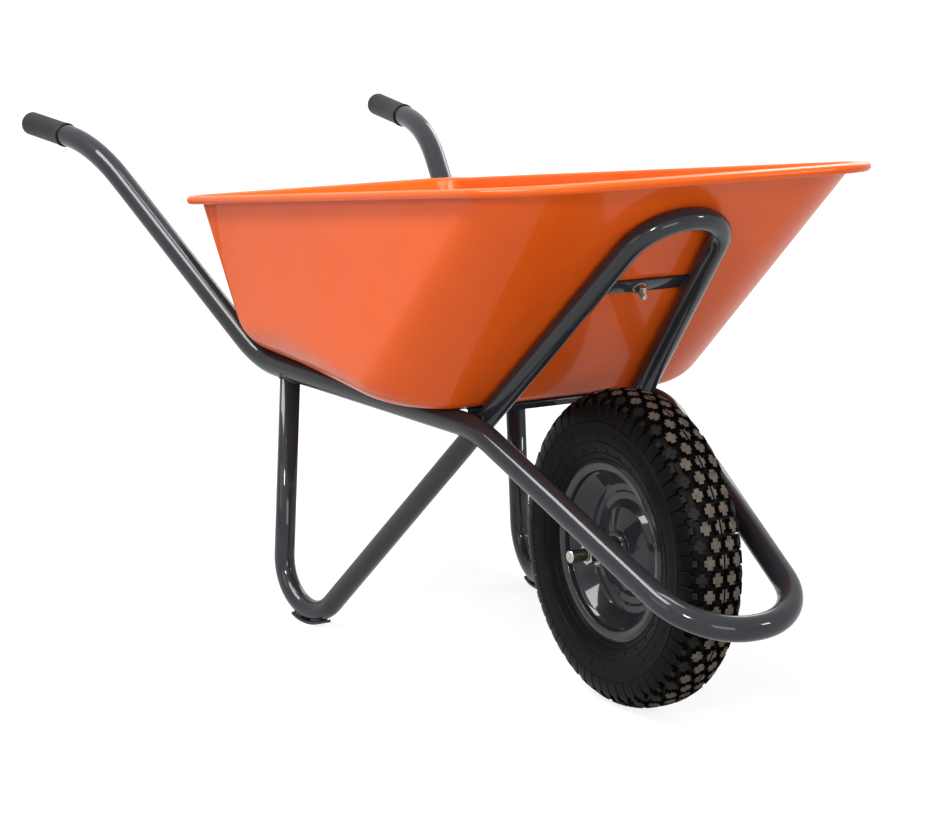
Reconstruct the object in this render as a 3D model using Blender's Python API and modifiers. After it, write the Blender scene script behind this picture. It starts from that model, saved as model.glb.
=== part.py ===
"""Builder's wheelbarrow: steel tray, two bent tubes, one pneumatic wheel.

Metres, +Z up, +X forward (towards the wheel), +Y the operator's left. The ground is z = 0, and the
origin is on the ground under the middle of the wheelbarrow. The wheel turns about the Y axis at
(AXLE_X, 0, AXLE_Z); every wheel part is parented to the empty that sits there.
"""

import math

import bmesh
import bpy
from mathutils import Matrix, Vector

# Clearance between pieces that are welded, seated or bolted together
SEAT_GAP = 0.0003

# Main frame tube: both handles, both rails and the loop in front of the wheel
MAIN_OD = 0.032
MAIN_WALL = 0.0015
GRIP_END_X = -0.729
GRIP_END_Y = 0.2975
GRIP_END_Z = 0.620
HANDLE_BEND_X = -0.538
HANDLE_BEND_Y = 0.2775
HANDLE_BEND_Z = 0.607
RAIL_REAR_X = -0.183
RAIL_REAR_Y = 0.1850
RAIL_FRONT_X = 0.325
RAIL_FRONT_Y = 0.1435
RAIL_Z = 0.341
LOOP_X = 0.725
LOOP_Y = 0.081
LOOP_Z = 0.165
HANDLE_BEND_R = 0.250
RAIL_REAR_BEND_R = 0.134
RAIL_FRONT_BEND_R = 0.150
LOOP_BEND_R = 0.090

# Support tube: both legs, both braces and the hoop in front of the tray
SUPPORT_OD = 0.028
SUPPORT_WALL = 0.0015
HOOP_X = 0.575
HOOP_Y = 0.0575
HOOP_Z = 0.627
HOOP_BEND_R = 0.064
BRACE_SLOPE = math.radians(46.0)
LEG_TOP_X = -0.110
FOOT_BEND_R = 0.066

# Foot shoes: curved strips under the foot bends, ground flat where they stand
SHOE_THICKNESS = 0.004
SHOE_WIDTH = 0.022
SHOE_HALF_ANGLE = math.radians(22.0)
SHOE_GROUND_FLAT = 0.0012

# Tray
SHEET = 0.0012
RIM_REAR_X = -0.3465
RIM_REAR_HALF_WIDTH = 0.2085
RIM_FRONT_HALF_WIDTH = 0.2675
RIM_REAR_Z = 0.5495
RIM_FRONT_Z = 0.6845
RIM_REAR_CORNER_R = 0.032
RIM_FRONT_CORNER_R = 0.096
FLOOR_REAR_X = -0.208
FLOOR_REAR_HALF_WIDTH = 0.216
FLOOR_FRONT_HALF_WIDTH = 0.255
FLOOR_REAR_CORNER_R = 0.074
FLOOR_FRONT_CORNER_R = 0.112
FLOOR_EDGE_SETBACK = 0.056
FLOOR_FRONT_SETBACK = 0.016
RIM_LIP = 0.0145
RIM_BEAD_OD = 0.011

# Cross members that the tray is bolted to
CHANNEL_WIDTH = 0.040
CHANNEL_HEIGHT = 0.010
CHANNEL_WALL = 0.0025
CHANNEL_END_GAP = 0.002
REAR_CHANNEL_X = -0.060
BAR_WIDTH = 0.022
BAR_THICKNESS = 0.004
BAR_Z = 0.523

# Tray fasteners
TRAY_BOLT_OD = 0.006
TRAY_BOLT_LENGTH = 0.025
TRAY_BOLT_FRONT_Y = 0.112
TRAY_BOLT_REAR_Y = 0.105
HOOP_BOLT_OD = 0.008
HOOP_BOLT_LENGTH = 0.025
BOLT_HOLE_CLEARANCE = 0.0004
HEAD_DIAMETERS = 2.25
HEAD_HEIGHTS = 0.55
NUT_FLATS = 1.65
NUT_HEIGHTS = 0.80
WASHER_DIAMETERS = 2.10
WASHER_THICKNESS = 0.0015

# Wheel
AXLE_X = 0.463
WHEEL_OD = 0.400
TYRE_WIDTH = 0.085
TYRE_WALL = 0.0070
TYRE_CROWN = 0.0080
TYRE_HEEL = 0.0030
RIM_FLANGE_R = 0.114
RIM_SEAT_R = 0.1015
RIM_WELL_R = 0.0845
RIM_WIDTH = 0.069
RIM_SHEET = 0.002
TUBE_RUBBER = 0.002
HUB_OD = 0.043
HUB_LENGTH = 0.048
BEARING_OD = 0.035
BEARING_WIDTH = 0.011
BEARING_RACE_OD = 0.022
VALVE_OD = 0.008
VALVE_CAP_OD = 0.010
VALVE_LENGTH = 0.030
VALVE_CAP_LENGTH = 0.012
VALVE_ANGLE = math.radians(35.0)

# Axle and its brackets
AXLE_OD = 0.016
AXLE_LENGTH = 0.182
AXLE_CHAMFER = 0.0012
BRACKET_INNER_Y = 0.0463
BRACKET_THICKNESS = 0.004
BRACKET_WIDTH = 0.036
BRACKET_BEND_RISE = 0.030
AXLE_WASHER_OD = 0.030
AXLE_WASHER_THICKNESS = 0.0025
AXLE_NUT_FLATS = 0.024
AXLE_NUT_HEIGHT = 0.013
SPACER_OD = 0.0208

# Grips
GRIP_WALL = 0.0012
GRIP_LENGTH = 0.110
GRIP_END_WALL = 0.005
GRIP_COLLAR = 0.0008
GRIP_COLLAR_LENGTH = 0.006

# Facets
TUBE_BEVEL_RESOLUTION = 5
BEND_STEP = math.radians(12.0)
CORNER_FACETS = 7
EDGE_FACETS = 5
BEAD_FACETS = 8
BEAD_ROLL = math.radians(285.0)
WHEEL_STEPS = 40
SMALL_STEPS = 24
BOLT_STEPS = 16

AXLE_Z = WHEEL_OD / 2
TRAY_Z = RAIL_Z + MAIN_OD / 2 + SEAT_GAP
SIDES = {"right": -1, "left": 1}

PAINT_GREY = ("frame_paint", (0.070, 0.074, 0.082), 0.22, 0.0)
PAINT_ORANGE = ("tray_paint", (0.86, 0.15, 0.02), 0.20, 0.0)
RUBBER = ("tyre_rubber", (0.018, 0.017, 0.016), 0.75, 0.0)
BUTYL = ("inner_tube_rubber", (0.03, 0.03, 0.03), 0.60, 0.0)
GRIP_RUBBER = ("grip_rubber", (0.045, 0.045, 0.048), 0.65, 0.0)
ZINC = ("bright_zinc", (0.75, 0.74, 0.68), 0.25, 1.0)
BARE_STEEL = ("bearing_steel", (0.60, 0.60, 0.60), 0.20, 1.0)
SEAL_BLACK = ("seal_black", (0.02, 0.02, 0.02), 0.50, 0.0)
BRASS = ("valve_brass", (0.70, 0.50, 0.20), 0.30, 1.0)


def clear_scene():
    for old in list(bpy.data.objects):
        bpy.data.objects.remove(old, do_unlink=True)


def new_collection(name):
    collection = bpy.data.collections.new(name)
    bpy.context.scene.collection.children.link(collection)
    return collection


def finish(look):
    name, colour, roughness, metallic = look
    material = bpy.data.materials.get(name)
    if material is None:
        material = bpy.data.materials.new(name)
        material.use_nodes = True
        shader = material.node_tree.nodes["Principled BSDF"]
        shader.inputs["Base Color"].default_value = (*colour, 1.0)
        shader.inputs["Roughness"].default_value = roughness
        shader.inputs["Metallic"].default_value = metallic
    return material


def add_part(name, mesh, look, location=(0, 0, 0), rotation=None, parent=None):
    """Put a mesh in the part's collection under its node name."""
    part = bpy.data.objects.new(name, mesh)
    mesh.name = name
    mesh.materials.clear()
    mesh.materials.append(finish(look))
    parts.objects.link(part)
    part.parent = parent
    part.location = location
    if rotation is not None:
        part.rotation_mode = "QUATERNION"
        part.rotation_quaternion = rotation
    return part


def add_cutter(name, mesh, matrix=None):
    cutter = bpy.data.objects.new(name, mesh)
    cutters.objects.link(cutter)
    cutter.matrix_world = matrix or Matrix.Identity(4)
    cutter.hide_render = True
    cutter.display_type = "WIRE"
    return cutter


def cylinder_between(name, start, end, radius, steps=SMALL_STEPS):
    """A solid cylinder cutter from start to end."""
    axis = end - start
    shape = bmesh.new()
    bmesh.ops.create_cone(shape, cap_ends=True, segments=steps, radius1=radius, radius2=radius,
                          depth=axis.length)
    mesh = bpy.data.meshes.new(name)
    shape.to_mesh(mesh)
    shape.free()
    matrix = Matrix.Translation((start + end) / 2) @ axis.to_track_quat("Z", "Y").to_matrix().to_4x4()
    return add_cutter(name, mesh, matrix)


def subtract(part, cutter):
    cut = part.modifiers.new("cut_" + cutter.name, "BOOLEAN")
    cut.operation = "DIFFERENCE"
    cut.solver = "EXACT"
    cut.object = cutter


def arc_corner(before, corner, after, setback, facets):
    """Points of the arc that replaces a corner, tangent to both of its sides."""
    to_before = (before - corner).normalized()
    to_after = (after - corner).normalized()
    half = to_before.angle(to_after) / 2
    radius = setback * math.tan(half)
    centre = corner + (to_before + to_after).normalized() * radius / math.sin(half)
    first = corner + to_before * setback - centre
    last = corner + to_after * setback - centre
    sweep = math.pi - 2 * half
    points = []
    for i in range(facets + 1):
        share = i / facets
        blend = math.sin((1 - share) * sweep) * first + math.sin(share * sweep) * last
        points.append(centre + blend / math.sin(sweep))
    return points


def bent_path(corners, radii):
    """Centre line of a bent tube: straights joined by arcs of the given radii."""
    points = [corners[0]]
    for before, corner, after, radius in zip(corners, corners[1:], corners[2:], radii):
        half = (before - corner).angle(after - corner) / 2
        facets = max(2, round((math.pi - 2 * half) / BEND_STEP))
        points += arc_corner(before, corner, after, radius / math.tan(half), facets)
    points.append(corners[-1])
    return points


def mirrored(point):
    return Vector((point.x, -point.y, point.z))


def both_sides(corners, radii):
    """Right half of a tube, then its mirror image back along the left."""
    right = [mirrored(corner) for corner in corners]
    return right + corners[::-1], radii + radii[::-1]


def pipe(name, path, outer_diameter, wall, look):
    """A hollow tube along a path, open at both ends."""
    curve = bpy.data.curves.new(name + "_path", "CURVE")
    curve.dimensions = "3D"
    curve.bevel_depth = outer_diameter / 2
    curve.bevel_resolution = TUBE_BEVEL_RESOLUTION
    curve.use_fill_caps = False
    spline = curve.splines.new("POLY")
    spline.points.add(len(path) - 1)
    for point, place in zip(spline.points, path):
        point.co = (*place, 1.0)
    source = bpy.data.objects.new(name + "_path", curve)
    cutters.objects.link(source)
    evaluated = source.evaluated_get(bpy.context.evaluated_depsgraph_get())
    mesh = bpy.data.meshes.new_from_object(evaluated)
    bpy.data.objects.remove(source)
    part = add_part(name, mesh, look)
    mesh.shade_smooth()
    skin = part.modifiers.new("wall", "SOLIDIFY")
    skin.thickness = wall
    skin.offset = -1.0
    skin.use_even_offset = True
    return part


def profile_mesh(profile, closed):
    """A chain of edges through (radius, height) points in the local XZ plane."""
    shape = bmesh.new()
    places = [shape.verts.new((radius, 0, height)) for radius, height in profile]
    for first, second in zip(places, places[1:]):
        shape.edges.new((first, second))
    if closed:
        shape.edges.new((places[-1], places[0]))
    mesh = bpy.data.meshes.new("profile")
    shape.to_mesh(mesh)
    shape.free()
    return mesh


def add_screw(part, steps):
    screw = part.modifiers.new("turn", "SCREW")
    screw.axis = "Z"
    screw.steps = steps
    screw.render_steps = steps
    screw.use_merge_vertices = True
    screw.merge_threshold = 0.00001
    screw.use_smooth_shade = True


def lathe(name, profile, steps, look, **placing):
    """A solid of revolution; a profile clear of the axis makes a ring."""
    area = sum(a[0] * b[1] - b[0] * a[1] for a, b in zip(profile, profile[1:] + profile[:1]))
    if area > 0:
        profile = profile[::-1]
    ring = min(radius for radius, height in profile) > 0
    part = add_part(name, profile_mesh(profile, ring), look, **placing)
    add_screw(part, steps)
    return part


def lathe_sheet(name, profile, steps, thickness, look, **placing):
    """A pressed sheet of revolution; the profile is the middle of the sheet."""
    part = add_part(name, profile_mesh(profile, False), look, **placing)
    add_screw(part, steps)
    skin = part.modifiers.new("sheet", "SOLIDIFY")
    skin.thickness = thickness
    skin.offset = 0.0
    skin.use_even_offset = True
    return part


def circle_points(radius, steps):
    turns = [2 * math.pi * i / steps for i in range(steps)]
    return [(radius * math.cos(turn), radius * math.sin(turn)) for turn in turns]


def flat_prism(name, outlines, thickness, look, **placing):
    """Outlines in the local XY plane, holes included, extruded both ways along Z."""
    curve = bpy.data.curves.new(name + "_outline", "CURVE")
    curve.dimensions = "2D"
    curve.fill_mode = "BOTH"
    curve.extrude = thickness / 2
    for outline in outlines:
        spline = curve.splines.new("POLY")
        spline.points.add(len(outline) - 1)
        for point, (x, y) in zip(spline.points, outline):
            point.co = (x, y, 0.0, 1.0)
        spline.use_cyclic_u = True
    source = bpy.data.objects.new(name + "_outline", curve)
    cutters.objects.link(source)
    evaluated = source.evaluated_get(bpy.context.evaluated_depsgraph_get())
    mesh = bpy.data.meshes.new_from_object(evaluated)
    bpy.data.objects.remove(source)
    shape = bmesh.new()
    shape.from_mesh(mesh)
    bmesh.ops.remove_doubles(shape, verts=shape.verts, dist=0.000001)
    shape.to_mesh(mesh)
    shape.free()
    return add_part(name, mesh, look, **placing)


def hex_nut(name, flats, height, bore, look, **placing):
    """A hexagon nut; its local origin is the middle of the nut."""
    corner = flats / math.sqrt(3)
    hexagon = circle_points(corner, 6)
    return flat_prism(name, [hexagon, circle_points(bore / 2, BOLT_STEPS)], height, look, **placing)


def washer(name, outer, bore, thickness, steps, look, **placing):
    """A plain washer standing on its local origin."""
    profile = [(bore / 2, 0), (outer / 2, 0), (outer / 2, thickness), (bore / 2, thickness)]
    return lathe(name, profile, steps, look, **placing)


def carriage_bolt(name, diameter, length, look, **placing):
    """Domed head above the local origin, shank below it."""
    head = diameter * HEAD_DIAMETERS / 2
    rise = diameter * HEAD_HEIGHTS
    dome = [(head * math.cos(turn), rise * math.sin(turn))
            for turn in (math.radians(angle) for angle in (90, 67, 45, 22, 0))]
    dome[0] = (0.0, rise)
    shank = diameter / 2
    chamfer = diameter / 8
    tail = [(shank, 0), (shank, chamfer - length), (shank - chamfer, -length), (0.0, -length)]
    return lathe(name, dome + tail, BOLT_STEPS, look, **placing)


def main_corners():
    """Left half of the main tube's centre line, from the grip end to the loop."""
    grip_end = Vector((GRIP_END_X, GRIP_END_Y, GRIP_END_Z))
    bend = Vector((HANDLE_BEND_X, HANDLE_BEND_Y, HANDLE_BEND_Z))
    inside_grip = grip_end + (bend - grip_end).normalized() * (GRIP_END_WALL + SEAT_GAP)
    return [
        inside_grip,
        bend,
        Vector((RAIL_REAR_X, RAIL_REAR_Y, RAIL_Z)),
        Vector((RAIL_FRONT_X, RAIL_FRONT_Y, RAIL_Z)),
        Vector((LOOP_X, LOOP_Y, LOOP_Z)),
    ]


def rail_y(x):
    """Distance of the rail's centre line from the middle plane at x."""
    share = (x - RAIL_REAR_X) / (RAIL_FRONT_X - RAIL_REAR_X)
    return RAIL_REAR_Y + share * (RAIL_FRONT_Y - RAIL_REAR_Y)


def brace_line():
    """Crossing point and upward direction of the left brace.

    The brace runs in the hoop's sloping plane and passes the rail on its inner side, a seat gap
    away from it.
    """
    run = (HOOP_Z - RAIL_Z) / math.tan(BRACE_SLOPE)
    crossing_x = HOOP_X - run
    hoop = Vector((HOOP_X, HOOP_Y, HOOP_Z))
    rail = Vector((RAIL_FRONT_X - RAIL_REAR_X, RAIL_FRONT_Y - RAIL_REAR_Y, 0.0)).normalized()
    apart = (MAIN_OD + SUPPORT_OD) / 2 + SEAT_GAP
    crossing = Vector((crossing_x, rail_y(crossing_x) - apart, RAIL_Z))
    for _ in range(6):
        brace = (hoop - crossing).normalized()
        square = rail.cross(brace).normalized()
        crossing.y = rail_y(crossing_x) - apart / abs(square.y)
    return crossing, (hoop - crossing).normalized()


def foot_bend(leg_top, foot, brace):
    """Centre, plane normal and radius vectors of the foot bend at a foot corner."""
    to_leg = (leg_top - foot).normalized()
    half = to_leg.angle(brace) / 2
    centre = foot + (to_leg + brace).normalized() * FOOT_BEND_R / math.sin(half)
    normal = to_leg.cross(brace).normalized()
    return centre, normal


def support_corners():
    """Left half of the support tube's centre line, from the leg top to the hoop.

    The foot corner slides along the brace line until the shoe under the bend, before its flat is
    ground, reaches the flat's depth below the ground.
    """
    crossing, brace = brace_line()
    leg_top = Vector((LEG_TOP_X, rail_y(LEG_TOP_X), RAIL_Z))
    reach = SUPPORT_OD / 2 + SEAT_GAP + SHOE_THICKNESS
    foot = crossing - brace * (RAIL_Z / brace.z)
    for _ in range(12):
        centre, normal = foot_bend(leg_top, foot, brace)
        down = math.sqrt(1 - normal.z ** 2)
        lowest = centre.z - (FOOT_BEND_R + reach) * down - abs(normal.z) * SHOE_WIDTH / 2
        foot -= brace * ((lowest + SHOE_GROUND_FLAT) / brace.z)
    return [leg_top, foot, Vector((HOOP_X, HOOP_Y, HOOP_Z))]


def main_clearance(name, start, end):
    """Cutter that leaves a seat gap around a straight of the main tube."""
    return cylinder_between(name, start, end, MAIN_OD / 2 + SEAT_GAP, SMALL_STEPS)


def support_clearance(name, start, end):
    """Cutter that leaves a seat gap around a straight of the support tube."""
    return cylinder_between(name, start, end, SUPPORT_OD / 2 + SEAT_GAP, SMALL_STEPS)


def build_main_tube():
    corners, radii = both_sides(
        main_corners(), [HANDLE_BEND_R, RAIL_REAR_BEND_R, RAIL_FRONT_BEND_R, LOOP_BEND_R])
    pipe("main_frame_tube", bent_path(corners, radii), MAIN_OD, MAIN_WALL, PAINT_GREY)


def build_support_tube():
    corners, radii = both_sides(support_corners(), [FOOT_BEND_R, HOOP_BEND_R])
    tube = pipe("support_tube", bent_path(corners, radii), SUPPORT_OD, SUPPORT_WALL, PAINT_GREY)
    rear, front = main_corners()[2:4]
    reach = 2 * SUPPORT_OD
    for side in SIDES:
        middle = Vector((LEG_TOP_X, rail_y(LEG_TOP_X), RAIL_Z))
        along = (front - rear).normalized()
        ends = [middle - along * reach, middle + along * reach]
        if side == "right":
            ends = [mirrored(end) for end in ends]
        subtract(tube, main_clearance("leg_top_cope_" + side, *ends))


def build_foot_shoes():
    leg_top, foot, _ = support_corners()
    _, brace = brace_line()
    centre, normal = foot_bend(leg_top, foot, brace)
    inner = FOOT_BEND_R + SUPPORT_OD / 2 + SEAT_GAP
    down = (Vector((0, 0, -1)) + normal * normal.z).normalized()
    section = []
    for radius, offset in ((inner, -0.5), (inner + SHOE_THICKNESS, -0.5),
                           (inner + SHOE_THICKNESS, 0.5), (inner, 0.5)):
        section.append(centre + down * radius + normal * offset * SHOE_WIDTH)
    ground_slab = ground_cutter()
    for side, sign in SIDES.items():
        shape = bmesh.new()
        face = shape.faces.new([shape.verts.new(place) for place in section])
        bmesh.ops.rotate(shape, verts=shape.verts, cent=centre,
                         matrix=Matrix.Rotation(-SHOE_HALF_ANGLE, 3, normal))
        bmesh.ops.spin(shape, geom=[face, *face.edges, *face.verts], cent=centre, axis=normal,
                       angle=2 * SHOE_HALF_ANGLE, steps=6)
        if sign < 0:
            for place in shape.verts:
                place.co.y = -place.co.y
        bmesh.ops.recalc_face_normals(shape, faces=shape.faces)
        mesh = bpy.data.meshes.new("shoe")
        shape.to_mesh(mesh)
        shape.free()
        shoe = add_part("foot_shoe_" + side, mesh, PAINT_GREY)
        subtract(shoe, ground_slab)


def ground_cutter():
    """A slab whose top is the ground."""
    shape = bmesh.new()
    bmesh.ops.create_cube(shape, size=1.0)
    mesh = bpy.data.meshes.new("ground")
    shape.to_mesh(mesh)
    shape.free()
    return add_cutter("ground", mesh, Matrix.Translation((0, 0, -0.5)))


def rounded_outline(corners, radii):
    """Plan outline of a tray section with its outward directions."""
    places = []
    for i, corner in enumerate(corners):
        before = corners[i - 1]
        after = corners[(i + 1) % len(corners)]
        half = (before - corner).angle(after - corner) / 2
        places += arc_corner(before, corner, after, radii[i] / math.tan(half), CORNER_FACETS)
    outward = []
    for i in range(len(places)):
        travel = places[(i + 1) % len(places)] - places[i - 1]
        outward.append(Vector((travel.y, -travel.x, 0)).normalized())
    return places, outward


def tray_plan(rear_x, front_x, rear_half, front_half, rear_radius, front_radius):
    corners = [Vector((rear_x, -rear_half, 0)), Vector((front_x, -front_half, 0)),
               Vector((front_x, front_half, 0)), Vector((rear_x, rear_half, 0))]
    return rounded_outline(corners, [rear_radius, front_radius, front_radius, rear_radius])


def front_wall_x(z):
    """Outer face of the tray's front wall at a height, seated on the hoop."""
    back_off = (SUPPORT_OD / 2 + SEAT_GAP) / math.sin(BRACE_SLOPE)
    return HOOP_X - back_off + (z - HOOP_Z) / math.tan(BRACE_SLOPE)


def tray_rings():
    """Rings of the tray's outer face, from the floor's edge to the end of the rolled bead."""
    floor_front = front_wall_x(TRAY_Z)
    rim_front = front_wall_x(RIM_FRONT_Z)
    floor, floor_out = tray_plan(FLOOR_REAR_X, floor_front, FLOOR_REAR_HALF_WIDTH,
                                 FLOOR_FRONT_HALF_WIDTH, FLOOR_REAR_CORNER_R, FLOOR_FRONT_CORNER_R)
    rim, rim_out = tray_plan(RIM_REAR_X, rim_front, RIM_REAR_HALF_WIDTH, RIM_FRONT_HALF_WIDTH,
                             RIM_REAR_CORNER_R, RIM_FRONT_CORNER_R)
    rise = (RIM_FRONT_Z - RIM_REAR_Z) / (rim_front - RIM_REAR_X)
    stations = []
    for low, out, high, over in zip(floor, floor_out, rim, rim_out):
        corner = Vector((low.x, low.y, TRAY_Z))
        top = Vector((high.x, high.y, RIM_REAR_Z + rise * (high.x - RIM_REAR_X)))
        frontness = max(out.x, 0.0) ** 2
        setback = FLOOR_EDGE_SETBACK + frontness * (FLOOR_FRONT_SETBACK - FLOOR_EDGE_SETBACK)
        station = arc_corner(corner - out, corner, top, setback, EDGE_FACETS)
        station.append(top)
        station += bead_points(top, over)
        stations.append(station)
    return [list(ring) for ring in zip(*stations)]


def bead_points(top, outward):
    """The lip and the rolled bead outside one point of the wall's top."""
    radius = RIM_BEAD_OD / 2
    centre = top + outward * RIM_LIP - Vector((0, 0, radius))
    points = []
    for i in range(BEAD_FACETS + 1):
        turn = math.pi / 2 - BEAD_ROLL * i / BEAD_FACETS
        points.append(centre + outward * radius * math.cos(turn)
                      + Vector((0, 0, radius * math.sin(turn))))
    return points


def build_tray():
    rings = tray_rings()
    count = len(rings[0])
    shape = bmesh.new()
    loops = [[shape.verts.new(place) for place in ring] for ring in rings]
    shape.faces.new(loops[0][::-1])
    for lower, upper in zip(loops, loops[1:]):
        for i in range(count):
            j = (i + 1) % count
            shape.faces.new((lower[i], lower[j], upper[j], upper[i]))
    mesh = bpy.data.meshes.new("tray")
    shape.to_mesh(mesh)
    shape.free()
    mesh.shade_smooth()
    tray = add_part("tray", mesh, PAINT_ORANGE)
    skin = tray.modifiers.new("sheet", "SOLIDIFY")
    skin.thickness = SHEET
    skin.offset = -1.0
    skin.use_even_offset = True
    return tray


def channel_profile():
    """Downward open channel section, (across, height) about the middle of its web's top."""
    half = CHANNEL_WIDTH / 2
    inside = half - CHANNEL_WALL
    return [(-half, -CHANNEL_HEIGHT), (-inside, -CHANNEL_HEIGHT), (-inside, -CHANNEL_WALL),
            (inside, -CHANNEL_WALL), (inside, -CHANNEL_HEIGHT), (half, -CHANNEL_HEIGHT),
            (half, 0), (-half, 0)]


def add_channel(name, x, half_length):
    turn = Matrix.Rotation(math.radians(90), 3, "X").to_quaternion()
    place = (x, 0, TRAY_Z - SEAT_GAP)
    return flat_prism(name, [channel_profile()], 2 * half_length, PAINT_GREY,
                      location=place, rotation=turn)


def front_channel_x():
    """The front channel stands against the back of both braces."""
    low = TRAY_Z - SEAT_GAP - CHANNEL_HEIGHT
    crossing, brace = brace_line()
    brace_x = crossing.x + (low - crossing.z) * brace.x / brace.z
    back = (SUPPORT_OD / 2 + SEAT_GAP) / math.sin(BRACE_SLOPE)
    return brace_x - back - CHANNEL_WIDTH / 2


def rail_edge_y(x, z):
    """Inner face of the rail at a height, measured from the middle plane."""
    rise = z - RAIL_Z
    return rail_y(x) - math.sqrt((MAIN_OD / 2) ** 2 - rise ** 2)


def build_cross_members(tray):
    low = TRAY_Z - SEAT_GAP - CHANNEL_HEIGHT
    front_x = front_channel_x()
    front_half = rail_edge_y(front_x + CHANNEL_WIDTH / 2, low) - CHANNEL_END_GAP
    rear_half = rail_edge_y(REAR_CHANNEL_X + CHANNEL_WIDTH / 2, low) - SEAT_GAP
    front = add_channel("front_cross_channel", front_x, front_half)
    rear = add_channel("rear_cross_channel", REAR_CHANNEL_X, rear_half)
    for end, channel, x, y in (("front", front, front_x, TRAY_BOLT_FRONT_Y),
                               ("rear", rear, REAR_CHANNEL_X, TRAY_BOLT_REAR_Y)):
        for side, sign in SIDES.items():
            bolt_through_floor("%s_%s" % (end, side), tray, channel, Vector((x, sign * y, 0)))


def bolt_through_floor(where, tray, channel, spot):
    """One carriage bolt down through the tray floor and a channel's web."""
    head_z = TRAY_Z + SHEET + SEAT_GAP
    web_z = TRAY_Z - SEAT_GAP - CHANNEL_WALL
    bore = TRAY_BOLT_OD + 2 * BOLT_HOLE_CLEARANCE
    hole = cylinder_between("tray_hole_" + where, spot + Vector((0, 0, web_z - 0.004)),
                            spot + Vector((0, 0, head_z + 0.004)), bore / 2, BOLT_STEPS)
    subtract(tray, hole)
    subtract(channel, hole)
    carriage_bolt("tray_bolt_" + where, TRAY_BOLT_OD, TRAY_BOLT_LENGTH, ZINC,
                  location=spot + Vector((0, 0, head_z)))
    washer_z = web_z - SEAT_GAP - WASHER_THICKNESS
    washer("tray_washer_" + where, TRAY_BOLT_OD * WASHER_DIAMETERS, bore, WASHER_THICKNESS,
           BOLT_STEPS, ZINC, location=spot + Vector((0, 0, washer_z)))
    height = TRAY_BOLT_OD * NUT_HEIGHTS
    hex_nut("tray_nut_" + where, TRAY_BOLT_OD * NUT_FLATS, height, bore, ZINC,
            location=spot + Vector((0, 0, washer_z - SEAT_GAP - height / 2)))


def build_hoop_bar(tray):
    """Flat bar welded between the braces behind the hoop, bolted to the tray's front wall."""
    crossing, brace = brace_line()
    on_brace = crossing + brace * ((BAR_Z - crossing.z) / brace.z)
    slope = Matrix.Rotation(-BRACE_SLOPE, 3, "Y")
    to_tray = slope @ Vector((0, 0, 1))
    middle = Vector((on_brace.x, 0, BAR_Z)) + to_tray * (SUPPORT_OD - BAR_THICKNESS) / 2
    shape = bmesh.new()
    bmesh.ops.create_cube(shape, size=1.0)
    bmesh.ops.scale(shape, verts=shape.verts,
                    vec=(BAR_WIDTH, 2 * on_brace.y, BAR_THICKNESS))
    mesh = bpy.data.meshes.new("bar")
    shape.to_mesh(mesh)
    shape.free()
    turn = slope.to_quaternion()
    bar = add_part("hoop_cross_bar", mesh, PAINT_GREY, location=middle, rotation=turn)
    along = brace * 0.08
    for side in SIDES:
        ends = [on_brace - along, on_brace + along]
        if side == "right":
            ends = [mirrored(end) for end in ends]
        subtract(bar, support_clearance("bar_cope_" + side, *ends))
    bolt_through_wall(tray, bar, middle, to_tray, turn)


def bolt_through_wall(tray, bar, middle, to_tray, turn):
    """One carriage bolt out through the tray's front wall and the hoop bar."""
    wall = BAR_THICKNESS / 2 + SEAT_GAP
    bore = HOOP_BOLT_OD + 2 * BOLT_HOLE_CLEARANCE
    hole = cylinder_between("hoop_bolt_hole", middle - to_tray * 0.008,
                            middle + to_tray * 0.008, bore / 2, BOLT_STEPS)
    subtract(tray, hole)
    subtract(bar, hole)
    carriage_bolt("hoop_bolt", HOOP_BOLT_OD, HOOP_BOLT_LENGTH, ZINC,
                  location=middle + to_tray * (wall + SHEET + SEAT_GAP), rotation=turn)
    washer_at = -(BAR_THICKNESS / 2 + SEAT_GAP + WASHER_THICKNESS)
    washer("hoop_washer", HOOP_BOLT_OD * WASHER_DIAMETERS, bore, WASHER_THICKNESS, BOLT_STEPS,
           ZINC, location=middle + to_tray * washer_at, rotation=turn)
    height = HOOP_BOLT_OD * NUT_HEIGHTS
    hex_nut("hoop_nut", HOOP_BOLT_OD * NUT_FLATS, height, bore, ZINC,
            location=middle + to_tray * (washer_at - SEAT_GAP - height / 2), rotation=turn)


def build_grips():
    bore = MAIN_OD / 2 + SEAT_GAP
    outer = bore + GRIP_WALL
    collar = outer + GRIP_COLLAR
    nose = 0.005
    rounding = [(outer - nose + nose * math.sin(turn), nose - nose * math.cos(turn))
                for turn in (math.radians(angle) for angle in (0, 30, 60, 90))]
    collar_z = GRIP_LENGTH - GRIP_COLLAR_LENGTH
    profile = [(0.0, 0.0), *rounding, (outer, collar_z), (collar, collar_z + GRIP_COLLAR),
               (collar, GRIP_LENGTH), (bore, GRIP_LENGTH), (bore, GRIP_END_WALL),
               (0.0, GRIP_END_WALL)]
    for side, sign in SIDES.items():
        end = Vector((GRIP_END_X, sign * GRIP_END_Y, GRIP_END_Z))
        bend = Vector((HANDLE_BEND_X, sign * HANDLE_BEND_Y, HANDLE_BEND_Z))
        lathe("grip_" + side, profile, SMALL_STEPS, GRIP_RUBBER, location=end,
              rotation=(bend - end).to_track_quat("Z", "Y"))


def facing(sign):
    """Rotation that lays the local Z axis outward along Y on one side."""
    return Matrix.Rotation(-sign * math.radians(90), 3, "X").to_quaternion()


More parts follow.
